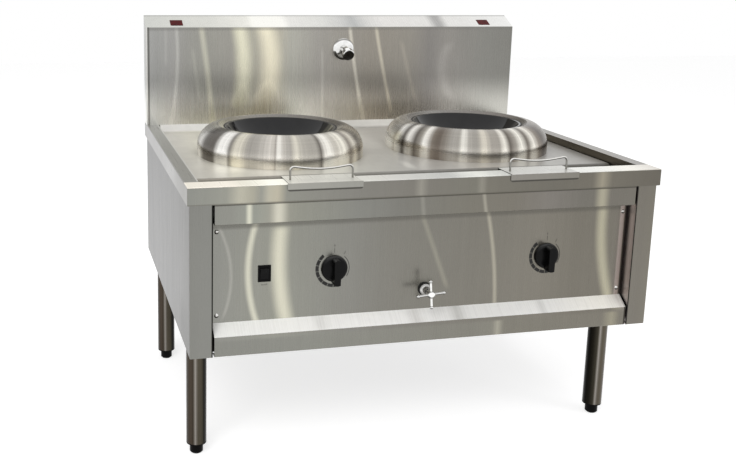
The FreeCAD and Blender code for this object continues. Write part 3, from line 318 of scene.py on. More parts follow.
def brushedSteel(name, finish):
    material, tree = newMaterial(name)
    place = addNode(tree, "TexCoord").outputs
    spot = place["Object"]
    xyz = addNode(tree, "SeparateXYZ", {0: spot}).outputs
    axes = {"x": xyz[0], "y": xyz[1], "z": xyz[2]}
    masks = faceMasks(tree, addNode(tree, "SeparateXYZ", {0: place["Normal"]}).outputs)

    # the tones sway a little on the way down, as on a sheet that isn't quite flat
    swayNoise = pattern(tree, spot, *sheetPatterns["sway"])
    width = mm(finish["sway"])
    sway = addNode(tree, "MapRange", {"To Min": -width, "To Max": width, "Value": swayNoise})
    across = addNode(tree, "Math", {"operation": "ADD", 0: axes["x"], 1: sway.outputs[0]}).outputs[0]
    colour = toneAlong(tree, across, finish["front"])
    # painted highlight streaks: pale reflections laid over the front tones
    for path, half, tone, strength in finish.get("streaks", []):
        colour = paintHighlightStreak(tree, colour, axes["x"], axes["z"], path, half, tone, strength)
    # the side and top faces get tones of their own: painted light and reflection for the way they face
    for face, coordinate in (("side", axes["y"]), ("top", across)):
        if face in finish:
            paint = toneAlong(tree, coordinate, finish[face])
            colour = addNode(tree, "Mix", {**colourMix, 0: masks[face], 6: colour, 7: paint}).outputs[2]
    # a zone of painted shade, highlight or reflection is a face and spans on it, with its own tones along X
    # or one tone
    for face, spans, tones, strength in finish.get("zones", []):
        share = addNode(tree, "Math", {**times, 0: masks[face], 1: strength}).outputs[0]
        for axis, low, high, soft in spans:
            share = spanMask(tree, axes[axis], low, high, soft, share)
        paint = toLinear(tones) if isinstance(tones, str) else toneAlong(tree, across, tones)
        colour = addNode(tree, "Mix", {**colourMix, 0: share, 6: colour, 7: paint}).outputs[2]
    # patches of painted reflection
    for patch in finish.get("patches", []):
        colour = paintReflectionPatch(tree, colour, spot, *patch)

    cell, detail = sheetPatterns["grain"]
    grain = pattern(tree, spot, finish.get("grain", cell), detail)
    swings = [(grain, 1 - grainSwing, 1 + grainSwing)]
    for kind, swing in (("bands", finish["streak"]), ("clouds", finish["cloud"])):
        swings.append((pattern(tree, spot, *sheetPatterns[kind]), 1 - swing, 1 + swing))
    # the top faces are drawn brighter by topGain: painted light from above
    gain = finish.get("gain", 1.0)
    levels = {"To Min": gain, "To Max": finish.get("topGain", gain), "Value": masks["top"]}
    factors = [addNode(tree, "MapRange", levels).outputs[0]]
    if "lift" in finish:   # painted light: the lower part of the sheet is drawn brighter, to even out what it mirrors of its neighbour below
        high, low, most = finish["lift"]
        rise = {**softly, "From Min": mm(high), "From Max": mm(low), "To Min": 1.0, "To Max": most}
        factors.append(addNode(tree, "MapRange", {**rise, "Value": axes["z"]}).outputs[0])
    metal = 1.0
    if "matt" in finish:   # level faces scatter the light from above, so there a share of the steel is matt
        share = {"operation": "MULTIPLY_ADD", 0: masks["top"], 1: -finish["matt"], 2: 1.0}
        metal = addNode(tree, "Math", share).outputs[0]
    finishSurface(tree, shaded(tree, colour, swings, factors), grain, finish, metal)
    return material


sheetFinishes = {
    "brushedSteelPanel": {   # control panel: warm grey with pale bent streaks of painted reflection, a near-white ledge below painted as lit from above
        "nodes": ["fascia_panel"],
        "front": [(-560, "#8b8b85"), (-520, "#90908a"), (-400, "#96968d"), (-338, "#92928a"),
                  (-200, "#8a8983"), (-100, "#84827b"), (120, "#807d75"), (300, "#837f76"),
                  (400, "#7b776e"), (500, "#7c786f"), (560, "#8a857e")],
        "streaks": [
            ([(-515, 605), (-493, 525), (-505, 411)], 7, "#b9b7b0", 0.4),
            ([(-437, 611), (-451, 508), (-433, 388)], 13, "#dcdac8", 0.8),
            ([(-374, 597), (-376, 500), (-360, 389)], 31, "#dedbc7", 0.85),
            ([(-16, 611), (10, 545), (46, 451)], 11, "#aaa798", 0.4),
            ([(153, 618), (168, 544), (184, 382)], 9, "#b3ae9f", 0.75),
            ([(468, 610), (475, 496), (504, 376)], 24, "#bab59f", 0.85),
        ],
        "top": [(-560, "#dcdbd8"), (-520, "#eeeeea"), (-300, "#f3f2ee"), (-275, "#e0dfdb"),
                (-250, "#f0efeb"), (-60, "#eeedea"), (-34, "#dad8d4"), (-10, "#ebeae7"), (50, "#e4e3e0"),
                (76, "#c2c1bd"), (104, "#e2e1de"), (290, "#e9e8e5"), (306, "#d4d3d0"), (322, "#e8e7e4"),
                (480, "#f2efe6"), (540, "#d5d2cd"), (560, "#a9a6a0")],
        "zones": [
            # painted reflections: other tones low on the panel
            ("front", [("z", 200, 350, 4)], [(-560, "#8a8a84"), (-300, "#8d8d86"), (100, "#85837b"),
                                             (165, "#87857c"), (180, "#a5a295"), (196, "#827f76"),
                                             (470, "#7f7b72"), (497, "#9c9786"), (520, "#7d7970"),
                                             (560, "#7d7970")], 1.0),
            # painted shade under the band
            ("front", [("z", 612, 640, 5)], "#5f5d57", 0.55),
            # painted reflection: a pale pinkish strip at the right end
            ("front", [("x", 519, 530, 3), ("z", 360, 640, 4)], "#beb4ae", 0.85),
            # painted shade in the gap beside the right pillar
            ("front", [("x", 532, 537, 1), ("z", 300, 640, 4)], "#35322e", 0.9),
        ],
        "sway": 4, "streak": 0.02, "cloud": 0.012, "roughness": (0.24, 0.32), "gain": 0.87,
        "topGain": 1.08, "matt": 1.0,
    },
    "brushedSteelBand": {   # band under the rim: the panel's painted reflection tones in straighter streaks, painted shade under the lip and along the lower fold
        "nodes": ["top_band"],
        "front": [(-560, "#8d8d87"), (-500, "#93938c"), (-440, "#9b9d94"), (-396, "#a2a095"),
                  (-340, "#95958b"), (-200, "#8b8b85"), (-100, "#82817b"), (80, "#807d74"),
                  (200, "#807c73"), (300, "#84807a"), (400, "#79766f"), (560, "#7c7870")],
        "streaks": [
            ([(-456, 690), (-456, 652), (-456, 610)], 11, "#e0dfcd", 0.9),
            ([(-385, 690), (-386, 652), (-385, 610)], 27, "#d8d5c5", 0.85),
            ([(-37, 690), (-33, 652), (-28, 610)], 9, "#a8a69d", 0.4),
            ([(121, 690), (127, 652), (135, 610)], 8, "#b0ac9f", 0.65),
            ([(443, 690), (443, 652), (443, 610)], 26, "#b4af9b", 0.85),
        ],
        "zones": [
            # painted shade under the lip
            ("any", [("z", 675.5, 684, 1)], "#4f4c46", 0.8),
            # painted shade along the band's lower fold
            ("any", [("z", 600, 631.5, 1)], "#69665f", 0.7),
        ],
        "sway": 3, "streak": 0.02, "cloud": 0.01, "roughness": (0.26, 0.34), "gain": 0.88,
    },
    "brushedSteelWorktop": {   # rim: pale front strip and warm lip in painted reflections, grey side strips with a painted highlight on the inner edge
        "nodes": ["top_frame"],
        "front": [(-600, "#8c8d87"), (-510, "#98988f"), (-480, "#b6b3a4"), (-450, "#a8a597"),
                  (-430, "#97978f"), (-412, "#b7b3a3"), (-392, "#bab4a2"), (-370, "#8f8f87"),
                  (-200, "#84827c"), (-60, "#807d76"), (-42, "#96938a"), (-24, "#7f7c75"),
                  (98, "#7c7a71"), (113, "#8f8c82"), (128, "#7a776e"), (300, "#726f67"), (410, "#757168"),
                  (436, "#9c9686"), (462, "#767269"), (600, "#6c6860")],
        "side": [(-440, "#8f8e89"), (-300, "#a09f9c"), (0, "#aaa9a7"), (460, "#acabab")],
        "top": [(-600, "#76756f"), (0, "#7b7a74"), (600, "#77746f")],
        "zones": [
            # painted reflection: the pale front strip
            ("top", [("y", -600, -388, 4)], [(-600, "#dcd6c9"), (-500, "#e3dccf"), (-470, "#d2cec1"),
                                             (-400, "#ebeade"), (-300, "#d6d3c9"), (-200, "#c8c7c0"),
                                             (-100, "#bebdb8"), (40, "#b0b1ae"), (110, "#d5d6cf"),
                                             (180, "#b4b5b0"), (300, "#c2c2be"), (440, "#cfcfca"),
                                             (520, "#d8d5cc"), (600, "#bdb8b0")], 1.0),
            # painted highlights on the inner edges of the side strips
            ("top", [("x", -568, -560, 1), ("y", -380, 600, 3)], "#bdbcb7", 0.8),
            ("top", [("x", 560, 567, 1), ("y", -380, 600, 3)], "#a9a59f", 0.7),
            # painted light on the left rim's inner wall, and a darker painted reflection on the right rim's
            ("right", [("x", -590, -540, 2)], "#d8d5cc", 1.0),
            ("left", [("x", 540, 590, 2)], "#7d776b", 1.0),
            # painted shade along the lip's lower edge
            ("front", [("z", 600, 682.5, 1)], "#6d6a62", 0.6),
        ],
        "sway": 4, "streak": 0.015, "cloud": 0.012, "roughness": (0.26, 0.36), "gain": 0.95,
        "topGain": 1.08, "matt": 0.9,
    },
    "brushedSteelDeck": {   # recessed deck: pale and cloudy, painted shade on the rolled nose, a painted highlight on the cove at the back
        "nodes": ["deck_plate"],
        "front": [(-565, "#8a8478"), (0, "#77756f"), (565, "#55534d")],
        "top": [(-560, "#cfccc4"), (-480, "#e6e2d4"), (-440, "#dad7c9"), (-360, "#e9e5d8"),
                (-310, "#cdcabf"), (-180, "#d0cfc6"), (0, "#bfbdb7"), (130, "#b9b6b0"), (200, "#b5b0a8"),
                (300, "#b2b0aa"), (440, "#a8a6a1"), (560, "#9f9c96")],
        "zones": [
            # painted shade on the rolled nose
            ("any", [("y", -330, -268, 4)], [(-565, "#8a8478"), (0, "#77756f"), (565, "#55534d")], 0.85),
            # painted highlight on the cove at the back
            ("any", [("y", 366, 500, 5)], [(-565, "#f0eeea"), (-300, "#f6f5f0"), (0, "#d6d5d0"),
                                           (130, "#e6e4de"), (565, "#d0cecb")], 1.0),
        ],
        # painted reflections on the deck
        "patches": [
            ((-455, -165, 702), (60, 70, 400), "#fffbec", 0.9),
            ((18, -204, 702), (20, 70, 400), "#e2e0d8", 0.7),
            ((0, 150, 702), (70, 190, 400), "#dcdad3", 0.6),
        ],
        "sway": 14, "streak": 0.01, "cloud": 0.06, "roughness": (0.28, 0.38), "gain": 0.76, "matt": 0.7,
    },
    "brushedSteelGutter": {   # folded channel: painted darker, for what it mirrors of its own walls
        "nodes": ["gutter_channel"],
        "front": [(-565, "#8d8a83"), (565, "#6f6d68")],
        "side": [(-440, "#7d7a74"), (-200, "#7d7a74")],
        "top": [(-565, "#a9a69e"), (0, "#9b9992"), (565, "#85827c")],
        "sway": 6, "streak": 0.01, "cloud": 0.04, "roughness": (0.28, 0.38),
    },
    "brushedSteelSplash": {   # splashback: broad yellowish streaks of painted reflection that lean and bend, a light top slope with a painted highlight
        "nodes": ["splash_casing"],
        "front": [(-600, "#a1a19f"), (-560, "#9d9d9a"), (-520, "#9f9e9b"), (-480, "#9a9994"),
                  (-430, "#9b9a93"), (-340, "#9d9b94"), (-312, "#a6a499"), (-258, "#b0ada0"),
                  (-190, "#b5b1a4"), (-150, "#aeada4"), (-60, "#9f9c96"), (48, "#97938b"),
                  (110, "#948f86"), (240, "#928e86"), (310, "#878480"), (376, "#8e8b86"),
                  (500, "#85847f"), (600, "#807f7a")],
        "streaks": [
            ([(-508, 1015), (-507, 869), (-524, 736)], 9, "#c2c1bc", 0.6),
            ([(-541, 1012), (-541, 960), (-541, 920)], 8, "#b5b4b0", 0.4),
            ([(-431, 1014), (-417, 915), (-398, 740)], 15, "#c4c2b3", 0.85),
            ([(-457, 938), (-448, 875), (-439, 812)], 10, "#b2b1a8", 0.45),
            ([(-312, 1014), (-299, 923), (-309, 790)], 38, "#e2dfc8", 0.97),
            ([(-229, 1014), (-214, 937), (-238, 768)], 48, "#ede6ce", 0.95),
            ([(-47, 935), (-45, 840), (-42, 744)], 7, "#bebbb4", 0.45),
            ([(42, 1016), (54, 934), (91, 741)], 10, "#d2cdc0", 0.8),
            ([(131, 1006), (151, 909), (185, 765)], 10, "#ccc5b4", 0.75),
            ([(219, 958), (242, 878), (266, 798)], 12, "#a8a297", 0.5),
            ([(373, 951), (358, 872), (385, 800)], 30, "#a8a5a0", 0.4),
        ],
        "side": [(385, "#a5a5a2"), (420, "#a8a8a5"), (460, "#b0b0ad")],
        "top": [(-600, "#cbccc7"), (-400, "#d5d5cf"), (-285, "#e6e5de"), (-258, "#fcfbf5"),
                (-182, "#fcfbf5"), (-150, "#e3e2de"), (-40, "#d7d7d3"), (20, "#c8c8c6"), (60, "#b6b7b6"),
                (110, "#d5d4d1"), (160, "#dfddda"), (310, "#dcdbd8"), (338, "#abaaa8"), (352, "#abaaa8"),
                (378, "#dddcd9"), (600, "#e8e8e6")],
        "zones": [
            # painted shade under the slope's edge
            ("front", [("z", 1010, 1030, 4)], "#7b7a76", 0.5),
            # painted highlight on the left corner, and a dark line beside it
            ("front", [("x", -620, -596.5, 0.8)], "#dad9d5", 0.9),
            ("front", [("x", -596, -590, 0.8)], "#5d5c58", 0.8),
            ("side", [("y", 399, 403, 0.8)], "#55534f", 0.9),
            # painted reflection: the slope's back edge drawn darker
            ("top", [("y", 451, 470, 1)], "#8d8c88", 0.6),
        ],
        "sway": 5, "streak": 0.025, "cloud": 0.02, "roughness": (0.22, 0.3), "gain": 1.06,
        "lift": (870, 745, 2.4),
    },
    "brushedSteelSide": {   # side panels: even cool grey, drawn darker over all than the same sheet at the back as painted shade, with a painted dark reflection low at the front corner
        "nodes": ["side_panel_left"],
        "front": [(-600, "#8f8e8a"), (0, "#a2a19e"), (600, "#8f8e8a")],
        "side": [(-440, "#827f7c"), (-380, "#8f8d89"), (-300, "#9c9a98"), (-200, "#a3a2a0"),
                 (0, "#a8a7a6"), (200, "#aeadad"), (340, "#aaa9a9"), (460, "#a8a7a8")],
        # painted dark reflection low at the front corner
        "zones": [("side", [("y", -600, -290, 26), ("z", 100, 410, 30)], "#7b7a76", 0.85)],
        "sway": 8, "streak": 0.012, "cloud": 0.02, "roughness": (0.26, 0.36), "gain": 0.37,
        "grain": (240, 2, 240),
    },
    "brushedSteelBack": {   # far side, back and underside: the same sheet, drawn less dark, without the painted dark reflection at the corner
        "nodes": ["side_panel_right", "rear_panel", "splash_rear_cover", "base_pan"],
        "front": [(-600, "#8f8e8a"), (-200, "#a2a19e"), (150, "#98979a"), (600, "#8f8e8a")],
        "side": [(-440, "#827f7c"), (-380, "#8f8d89"), (-200, "#9c9b98"), (0, "#a3a2a1"), (460, "#a0a09f")],
        "sway": 8, "streak": 0.015, "cloud": 0.025, "roughness": (0.26, 0.36), "gain": 0.75,
        "grain": (3, 3, 240),
    },
    "brushedSteelPillar": {   # corner pillars: narrow sheets with the dark gap beside the panel painted on them as near-black shade
        "nodes": ["pillar_left", "pillar_right"],
        "front": [(-600, "#868681"), (-560, "#8a8a85"), (560, "#7d7971"), (600, "#817d73")],
        "side": [(-440, "#8c8b87"), (-400, "#6a6864"), (-380, "#6b6965")],
        "zones": [
            # painted shade: the gap beside the panel, near-black
            ("front", [("x", -543, -512, 1)], "#1d1c1a", 1.0),
            ("front", [("x", 512, 543, 1)], "#262422", 1.0),
            # painted light on the right pillar's return
            ("side", [("x", 500, 548, 1)], "#cfc6c2", 1.0),
            # painted highlight on the outer corner, and a dark line beside it
            ("front", [("x", -620, -596.6, 0.6)], "#c9c8c4", 0.9),
            ("front", [("x", -596, -593.5, 0.6)], "#4a4946", 0.8),
        ],
        "sway": 3, "streak": 0.015, "cloud": 0.01, "roughness": (0.26, 0.36), "gain": 0.88,
    },
    "brushedSteelStrainer": {   # strainer plates: pale tops, painted shade on the side walls from the gap
        "nodes": ["strainer_left", "strainer_right"],
        "front": [(-400, "#a09f98"), (-200, "#979690"), (200, "#8b8882"), (400, "#848179")],
        "side": [(-460, "#3a3935"), (-250, "#45433f")],
        "top": [(-400, "#dddbd1"), (-200, "#cfcec6"), (200, "#c2c2bd"), (400, "#bdbcb7")],
        "zones": [
            # painted shade along the lower edge of the front lip
            ("front", [("z", 600, 709, 0.8)], "#3f3d39", 0.85),
            # painted shade on the level faces below the deck
            ("top", [("z", 500, 700, 2)], "#8b8983", 0.8),
        ],
        "sway": 3, "streak": 0.015, "cloud": 0.015, "roughness": (0.26, 0.36), "matt": 0.6,
    },
}
materials = {}
for name, finish in sheetFinishes.items():
    materials[name] = brushedSteel(name, finish)
    for node in finish["nodes"]:
        giveMaterial(nodes[node], materials[name])
print("sheet steel dressed")


# mirror-like round parts: tones of painted highlight, reflection and shade by the way the surface faces, by
# its height from -1 down to 1 up, or by its turn in degrees round from the front
facingFinishes = {
    "satinLegTubeLeft": {   # welded tube, belt-ground: a thin painted highlight line and dark flanks of painted shade
        "nodes": ["leg_front_left", "leg_rear_left"], "by": "turn",
        "tones": [(-180, "#3a352e"), (-103, "#1d1a16"), (-85, "#2a251f"), (-70, "#4d453b"),
                  (-40, "#5a5046"), (-28, "#4d453b"), (-20, "#8a847b"), (-15, "#b5afa8"), (-9, "#8a847b"),
                  (0, "#625c50"), (20, "#5c564a"), (30, "#4a463c"), (38, "#1c1a16"), (77, "#15130f"),
                  (120, "#2a2620"), (180, "#3a352e")],
        "sizes": (9, 9, 260), "swing": 0.05, "roughness": (0.2, 0.3), "gain": 0.62,
    },
    "satinLegTubeRight": {   # the same tube with its painted highlight and shade laid for the other side of the room: dark edge left, warm grey right
        "nodes": ["leg_front_right", "leg_rear_right"], "by": "turn",
        "tones": [(-180, "#3a352e"), (-103, "#1d1a16"), (-75, "#15130f"), (-50, "#2a2721"),
                  (-27, "#4a463c"), (-21, "#8a847b"), (-15, "#b5afa8"), (-9, "#8a847b"), (0, "#6b6458"),
                  (22, "#6b6458"), (42, "#5a5046"), (62, "#3a352e"), (82, "#1d1a16"), (120, "#2a2620"),
                  (180, "#3a352e")],
        "sizes": (9, 9, 260), "swing": 0.05, "roughness": (0.2, 0.3), "gain": 0.62,
    },
    "platedChrome": {   # cast brass, chrome plated: hard dark and light bands of painted reflection, faint polishing clouds
        "nodes": ["spout_flange", "spout_elbow", "spout_nozzle", "tap_handle"], "by": "height",
        "tones": [(-1, "#4a4a48"), (-0.7, "#2b2a29"), (-0.4, "#3a3937"), (-0.2, "#8f8e8b"),
                  (-0.05, "#e4e4e2"), (0.25, "#fbfbfa"), (0.42, "#b9b8b5"), (0.55, "#6f6e6b"),
                  (0.68, "#c4c3c0"), (0.82, "#fbfbfa"), (1, "#f3f3f1")],
        "sizes": (14, 14, 14), "swing": 0.08, "roughness": (0.06, 0.12),
    },
    "polishedDomeScrew": {   # cold-headed and polished: a painted highlight on the cap over a dark underside in painted shade
        "nodes": ["panel_screws"], "by": "height",
        "tones": [(-1, "#1d1c1a"), (-0.35, "#34322e"), (-0.1, "#8f8d88"), (0.1, "#cfcdc9"),
                  (0.45, "#f4f3f1"), (1, "#dddbd7")],
        "sizes": (3, 3, 3), "swing": 0.08, "roughness": (0.15, 0.24),
    },
    "polishedSteelWire": {   # drawn and polished rod: painted highlight on top with painted shade on the edges
        "nodes": ["strainer_handle_left", "strainer_handle_right"], "by": "height",
        "tones": [(-1, "#2b2a28"), (-0.3, "#4b4a46"), (0.0, "#8f8e89"), (0.3, "#dddcd8"),
                  (0.75, "#f6f5f2"), (0.95, "#d8d6d0"), (1, "#c2c0ba")],
        "sizes": (6, 6, 6), "swing": 0.06, "roughness": (0.12, 0.2),
    },
    "mouldedKnobPlastic": {   # black phenolic, polished mould: deep black with a painted grey sheen on what faces up
        "nodes": ["knob_left", "knob_right", "switch_rocker"], "by": "height",
        "tones": [(-1, "#020202"), (0, "#060606"), (0.3, "#101010"), (0.6, "#2c2c2c"), (0.85, "#4a4a4a"),
                  (1, "#2a2a2a")],
        "sizes": (2, 2, 2), "swing": 0.12, "roughness": (0.22, 0.3), "metallic": 0.0, "bump": 0.05,
        "specular": 0.12,
    },
    "turnedLegSocket": {   # turned ring under the body: satin, painted shade below and painted light above
        "nodes": ["leg_sockets"], "by": "height",
        "tones": [(-1, "#55534e"), (0, "#6f6d67"), (0.5, "#9a9892"), (1, "#b9b8b4")],
        "sizes": (20, 20, 1.5), "swing": 0.06, "roughness": (0.24, 0.34),
    },
}


# the turn from the front to the right of a direction's parts along X and Y, in radians
def turnFrom(tree, parts):
    forwards = addNode(tree, "Math", {**times, 0: parts[1], 1: -1.0}).outputs[0]
    return addNode(tree, "Math", {"operation": "ARCTAN2", 0: parts[0], 1: forwards}).outputs[0]


def facingSurface(name, finish):
    material, tree = newMaterial(name)
    place = addNode(tree, "TexCoord").outputs
    facing = addNode(tree, "SeparateXYZ", {0: place["Normal"]}).outputs
    if finish["by"] == "turn":
        colour = toneAlong(tree, turnFrom(tree, facing), finish["tones"], math.radians(1))
    else:
        colour = toneAlong(tree, facing[2], finish["tones"], 1.0)
    noise = pattern(tree, place["Object"], finish["sizes"], 3.0)
    swings = [(noise, 1 - finish["swing"], 1 + finish["swing"])]
    tone = shaded(tree, colour, swings, [finish.get("gain", 1.0)])
    finishSurface(tree, tone, noise, finish, finish.get("metallic", 1.0))
    return material


for name, finish in facingFinishes.items():
    materials[name] = facingSurface(name, finish)
    for node in finish["nodes"]:
        giveMaterial(nodes[node], materials[name])
print("tubes and plated parts dressed")


# simple finishes: one colour broken up by noise, with its own roughness and bump
plainFinishes = {
    "glazedCeramicBowl": {   # black glass-ceramic, fired and polished: mirror gloss with faint flow marks
        "nodes": ["ceramic_bowl_left", "ceramic_bowl_right"],
        "colours": ("#0b0b0c", "#151516"), "sizes": (30, 30, 30), "roughness": (0.05, 0.09),
        "metallic": 0.0, "bump": 0.01, "specular": 0.4,
    },
    "mouldedSealRubber": {   # silicone rubber: matt, faint bloom
        "nodes": ["bowl_seals", "tap_gasket"],
        "colours": ("#161616", "#242423"), "sizes": (4, 4, 4), "roughness": (0.6, 0.75),
        "metallic": 0.0, "bump": 0.1, "specular": 0.3,
    },
    "castAluminium": {   # die-cast: pale grey with a fine sandy skin
        "nodes": ["coil_carrier_left", "coil_carrier_right", "inverter_left", "inverter_right"],
        "colours": ("#a9abad", "#c3c4c5"), "sizes": (3, 3, 3), "roughness": (0.4, 0.55), "bump": 0.2,
    },
    "lacqueredCopperWire": {   # enamelled winding: brown copper, glossy lacquer, turns one above another
        "nodes": ["induction_coils"],
        "colours": ("#7a4322", "#a8643a"), "sizes": (3, 3, 0.5), "roughness": (0.25, 0.4), "bump": 0.3,
    },
    "mouldedBlackPlastic": {   # black PA, spark-eroded mould: satin with a fine orange peel
        "nodes": ["switch_housing", "foot_inserts", "foot_front_left", "foot_front_right",
                  "foot_rear_left", "foot_rear_right", "fan_frames", "fan_rotor_left",
                  "fan_rotor_right", "cable_gland", "power_controls"],
        "colours": ("#060606", "#0b0b0b"), "sizes": (1.5, 1.5, 1.5), "roughness": (0.3, 0.42),
        "metallic": 0.0, "bump": 0.12, "specular": 0.07,
    },
    "smokedRedAcrylic": {   # tinted window, moulded: deep red and glossy, a little uneven
        "nodes": ["display_lenses"],
        "colours": ("#300304", "#520507"), "sizes": (12, 12, 12), "roughness": (0.08, 0.14),
        "metallic": 0.0, "bump": 0.01, "specular": 0.08,
    },
    "glassEpoxyBoard": {   # etched circuit board: green solder mask
        "nodes": ["display_boards"],
        "colours": ("#123a22", "#1c4f30"), "sizes": (2, 2, 2), "roughness": (0.35, 0.5),
        "metallic": 0.0, "bump": 0.1,
    },
    "nickelPlatedBrass": {   # turned body, nickel plated: warm silver with turning marks
        "nodes": ["tap_valve"],
        "colours": ("#8c8b89", "#dcdbd9"), "sizes": (9, 1.5, 9), "roughness": (0.18, 0.3), "bump": 0.03,
    },
    "drawnSteelPipe": {   # drawn tube: dull grey with lines along it
        "nodes": ["riser_pipe", "supply_pipe", "drain_pipe", "knob_spindle_left", "knob_spindle_right"],
        "colours": ("#8f8c87", "#aaa7a2"), "sizes": (6, 6, 120), "roughness": (0.3, 0.42), "bump": 0.04,
    },
    "screenPrintedInk": {   # printed marks: matt black ink, a little thin in places
        "nodes": [],
        "colours": ("#1f1f1e", "#30302e"), "sizes": (1.2, 1.2, 1.2), "roughness": (0.5, 0.62),
        "metallic": 0.0, "bump": 0.03, "specular": 0.3,
    },
}


def plainSurface(name, finish):
    material, tree = newMaterial(name)
    place = addNode(tree, "TexCoord").outputs
    noise = pattern(tree, place["Object"], finish["sizes"], 4.0)
    stops = list(zip(noiseSpan.values(), finish["colours"]))
    tone = addNode(tree, "ValToRGB", {"stops": stops, "Fac": noise}).outputs["Color"]
    finishSurface(tree, tone, noise, finish, finish.get("metallic", 1.0))
    return material


for name, finish in plainFinishes.items():
    materials[name] = plainSurface(name, finish)
    for node in finish["nodes"]:
        giveMaterial(nodes[node], materials[name])
print("other nodes dressed")


# wok rings: spun from sheet and polished; the streaks of light from the mouth down to the foot are painted
# reflections
ring = {
    "centres": {"left": (mm(-275), mm(11)), "right": (mm(275), mm(11))},
    "base": mm(702),
    # painted reflection streaks round each ring: degrees from the front, turning to the right, and tone
    "streaks": {
        "left": [(-180, "#8d8a86"), (-100, "#a5a29d"), (-86, "#cfcdc8"), (-77, "#5e5a55"),
                 (-64, "#64605b"), (-59, "#f0eee9"), (-53, "#efede8"), (-49, "#7c7872"), (-45, "#d9d4c5"),
                 (-41, "#cfcabc"), (-36, "#a5a19a"), (-30, "#a8a49d"), (-21, "#cfcac2"), (-18, "#c9c4bb"),
                 (-17, "#a19b94"), (-15, "#fbf8f0"), (-12, "#c5c0b8"), (-7, "#a9a59e"), (-3, "#ddd8ca"),
                 (1, "#b3afa6"), (12, "#a8a49c"), (14, "#69645e"), (17, "#d8d4cc"), (20, "#f6f3ea"),
                 (26, "#c2bdb3"), (35, "#eeeadd"), (41, "#857e75"), (47, "#d6d0c2"), (54, "#7c756b"),
                 (66, "#c9c3b6"), (82, "#6b655d"), (180, "#8d8a86")],
        "right": [(-180, "#8d8a86"), (-103, "#cbc9c4"), (-89, "#cfcdc8"), (-84, "#a5a19b"),
                  (-80, "#f2f0ea"), (-73, "#5c5751"), (-68, "#eeebe4"), (-62, "#625d57"),
                  (-57, "#98938b"), (-54, "#f4f1ea"), (-48, "#7a7269"), (-43, "#6b625a"),
                  (-38, "#8d877f"), (-34, "#a8a49d"), (-29, "#a5a19a"), (-26, "#f0ede4"),
                  (-22, "#a9a59e"), (-16, "#a39f98"), (-12, "#ddd7c9"), (-7, "#a8a39b"), (-1, "#a5a098"),
                  (3, "#eeeae0"), (7, "#6d6760"), (12, "#a39e96"), (17, "#f0ede3"), (23, "#665f57"),
                  (29, "#eeeae0"), (36, "#8d857b"), (44, "#57504a"), (70, "#8b847b"), (110, "#7d7771"),
                  (180, "#8d8a86")],
    },
    "footLift": 1.7,            # painted light: how much brighter the part that faces the deck is drawn
    "footFacing": (0.4, -0.1),  # height of the normal where that starts, and where it is full
    "lineSpacing": 3,           # mm between the lines of the spinning, drawn coarser than the real ones
    "lineSwing": (0.96, 1.03),
    "fineScale": 26.0,          # fine streaks, cells for each radian
    "fineSwing": (0.9, 1.1),
    "finish": {"roughness": (0.24, 0.3), "bump": 0.03},
}


def polishedRing(name, side, spec):
    material, tree = newMaterial(name)
    place = addNode(tree, "TexCoord").outputs
    x, y = spec["centres"][side]
    shift = (-x, -y, -spec["base"])
    centred = addNode(tree, "Mapping", {"Location": shift, 0: place["Object"]}).outputs[0]
    turn = turnFrom(tree, addNode(tree, "SeparateXYZ", {0: centred}).outputs)
    colour = toneAlong(tree, turn, spec["streaks"][side], math.radians(1))
    far = addNode(tree, "VectorMath", {"operation": "LENGTH", 0: centred}).outputs["Value"]
    lines = {"noise_dimensions": "1D", "Scale": 1 / mm(spec["lineSpacing"]), "Detail": 3.0}
    ringLine = addNode(tree, "TexNoise", {**lines, "W": far}).outputs[0]
    streaks = {"noise_dimensions": "1D", "Scale": spec["fineScale"], "Detail": 3.0, "Roughness": 0.7}
    fine = addNode(tree, "TexNoise", {**streaks, "W": turn}).outputs[0]
    # painted light: the part that faces the deck is drawn brighter
    facing = addNode(tree, "SeparateXYZ", {0: place["Normal"]}).outputs
    start, full = spec["footFacing"]
    rise = {**softly, "From Min": start, "From Max": full, "To Min": 1.0, "To Max": spec["footLift"]}
    lift = addNode(tree, "MapRange", {**rise, "Value": facing[2]}).outputs[0]
    swings = [(ringLine, *spec["lineSwing"]), (fine, *spec["fineSwing"])]
    finishSurface(tree, shaded(tree, colour, swings, [lift]), ringLine, spec["finish"])
    return material


for side in sides:
    giveMaterial(nodes["wok_ring_" + side], polishedRing("spunPolishedSteel" + side.title(), side, ring))
print("wok rings dressed")


# printed marks on the control panel: a power scale round each knob, and the switch's word
printing = {"face": mm(-406), "proud": mm(0.15)}


def placeInFront(name, mesh):
    piece = bpy.data.objects.new(name, mesh)
    bpy.context.scene.collection.objects.link(piece)
    giveMaterial(piece, materials["screenPrintedInk"])
    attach(piece, "range")


powerScale = {
    "knobs": {"left": (mm(-240), mm(501)), "right": (mm(318), mm(501))},
    # inner and outer radius in mm, start and length in degrees, from straight up and turning to the left
    "blocks": {"radii": (38.6, 46.8), "first": 39, "spacing": 20, "length": 18.5, "count": 8},
    "thinArc": (36.9, 38.4, -124, 83),
    "ticks": [(39, 51, -0.6, 1.2), (41, 50, -34.6, 1.2)],
    "zero": {"above": mm(57), "radii": (1.0, 1.6), "tall": 1.35},
    "step": 3,   # degrees for each facet of an arc
}


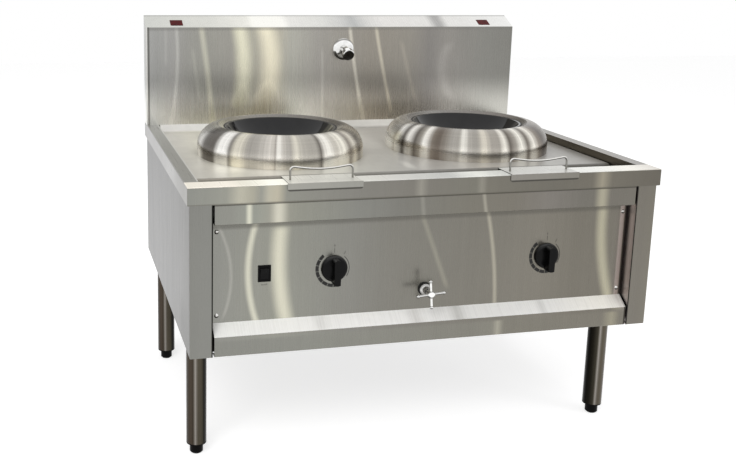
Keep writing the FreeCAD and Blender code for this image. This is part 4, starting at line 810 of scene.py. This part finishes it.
# an edge spun about the middle makes an arc
def addArc(shape, middle, inner, outer, start, sweep):
    angle = math.radians(start)
    centre = Vector((middle[0], printing["face"], middle[1]))
    outwards = Vector((-math.sin(angle), 0, math.cos(angle)))
    ends = [shape.verts.new(centre + outwards * mm(radius)) for radius in (inner, outer)]
    edge = shape.edges.new(ends)
    steps = max(1, int(sweep / powerScale["step"]))
    bmesh.ops.spin(shape, geom=ends + [edge], cent=centre, axis=(0, -1, 0), dvec=(0, 0, 0),
                   angle=math.radians(sweep), steps=steps, use_merge=sweep >= 360, use_duplicate=False)


def makeScale(side, spec):
    middle = spec["knobs"][side]
    zero, blocks = spec["zero"], spec["blocks"]
    shape = bmesh.new()
    # the zero comes first, so that it alone is drawn taller
    above = (middle[0], middle[1] + zero["above"])
    addArc(shape, above, *zero["radii"], 0, 360)
    about = Matrix.Translation((-above[0], -printing["face"], -above[1]))
    bmesh.ops.scale(shape, vec=(1, 1, zero["tall"]), space=about, verts=shape.verts)
    for index in range(blocks["count"]):
        addArc(shape, middle, *blocks["radii"], blocks["first"] + index * blocks["spacing"], blocks["length"])
    for arc in [spec["thinArc"]] + spec["ticks"]:
        addArc(shape, middle, *arc)
    raised = bmesh.ops.extrude_face_region(shape, geom=shape.faces[:])
    lifted = [part for part in raised["geom"] if isinstance(part, bmesh.types.BMVert)]
    bmesh.ops.translate(shape, vec=(0, -printing["proud"], 0), verts=lifted)
    bmesh.ops.recalc_face_normals(shape, faces=shape.faces)
    mesh = bpy.data.meshes.new("powerScale" + side.title())
    shape.to_mesh(mesh)
    shape.free()
    placeInFront("powerScale" + side.title(), mesh)


switchWord = {"text": "ON OFF", "size": mm(4.2), "centre": (mm(-411.5), mm(471))}


def makeWord(spec):
    curve = bpy.data.curves.new("switchWord", "FONT")
    curve.body = spec["text"]
    curve.size = spec["size"]
    curve.extrude = printing["proud"] / 2
    curve.align_x = "CENTER"
    curve.align_y = "CENTER"
    text = bpy.data.objects.new("switchWordCurve", curve)
    mesh = bpy.data.meshes.new_from_object(text)
    bpy.data.objects.remove(text)
    x, z = spec["centre"]
    front = Matrix.Translation((x, printing["face"] - printing["proud"] / 2, z))
    mesh.transform(front @ Matrix.Rotation(math.pi / 2, 4, "X"))
    placeInFront("switchWord", mesh)


for side in sides:
    makeScale(side, powerScale)
makeWord(switchWord)
print("panel marks made")
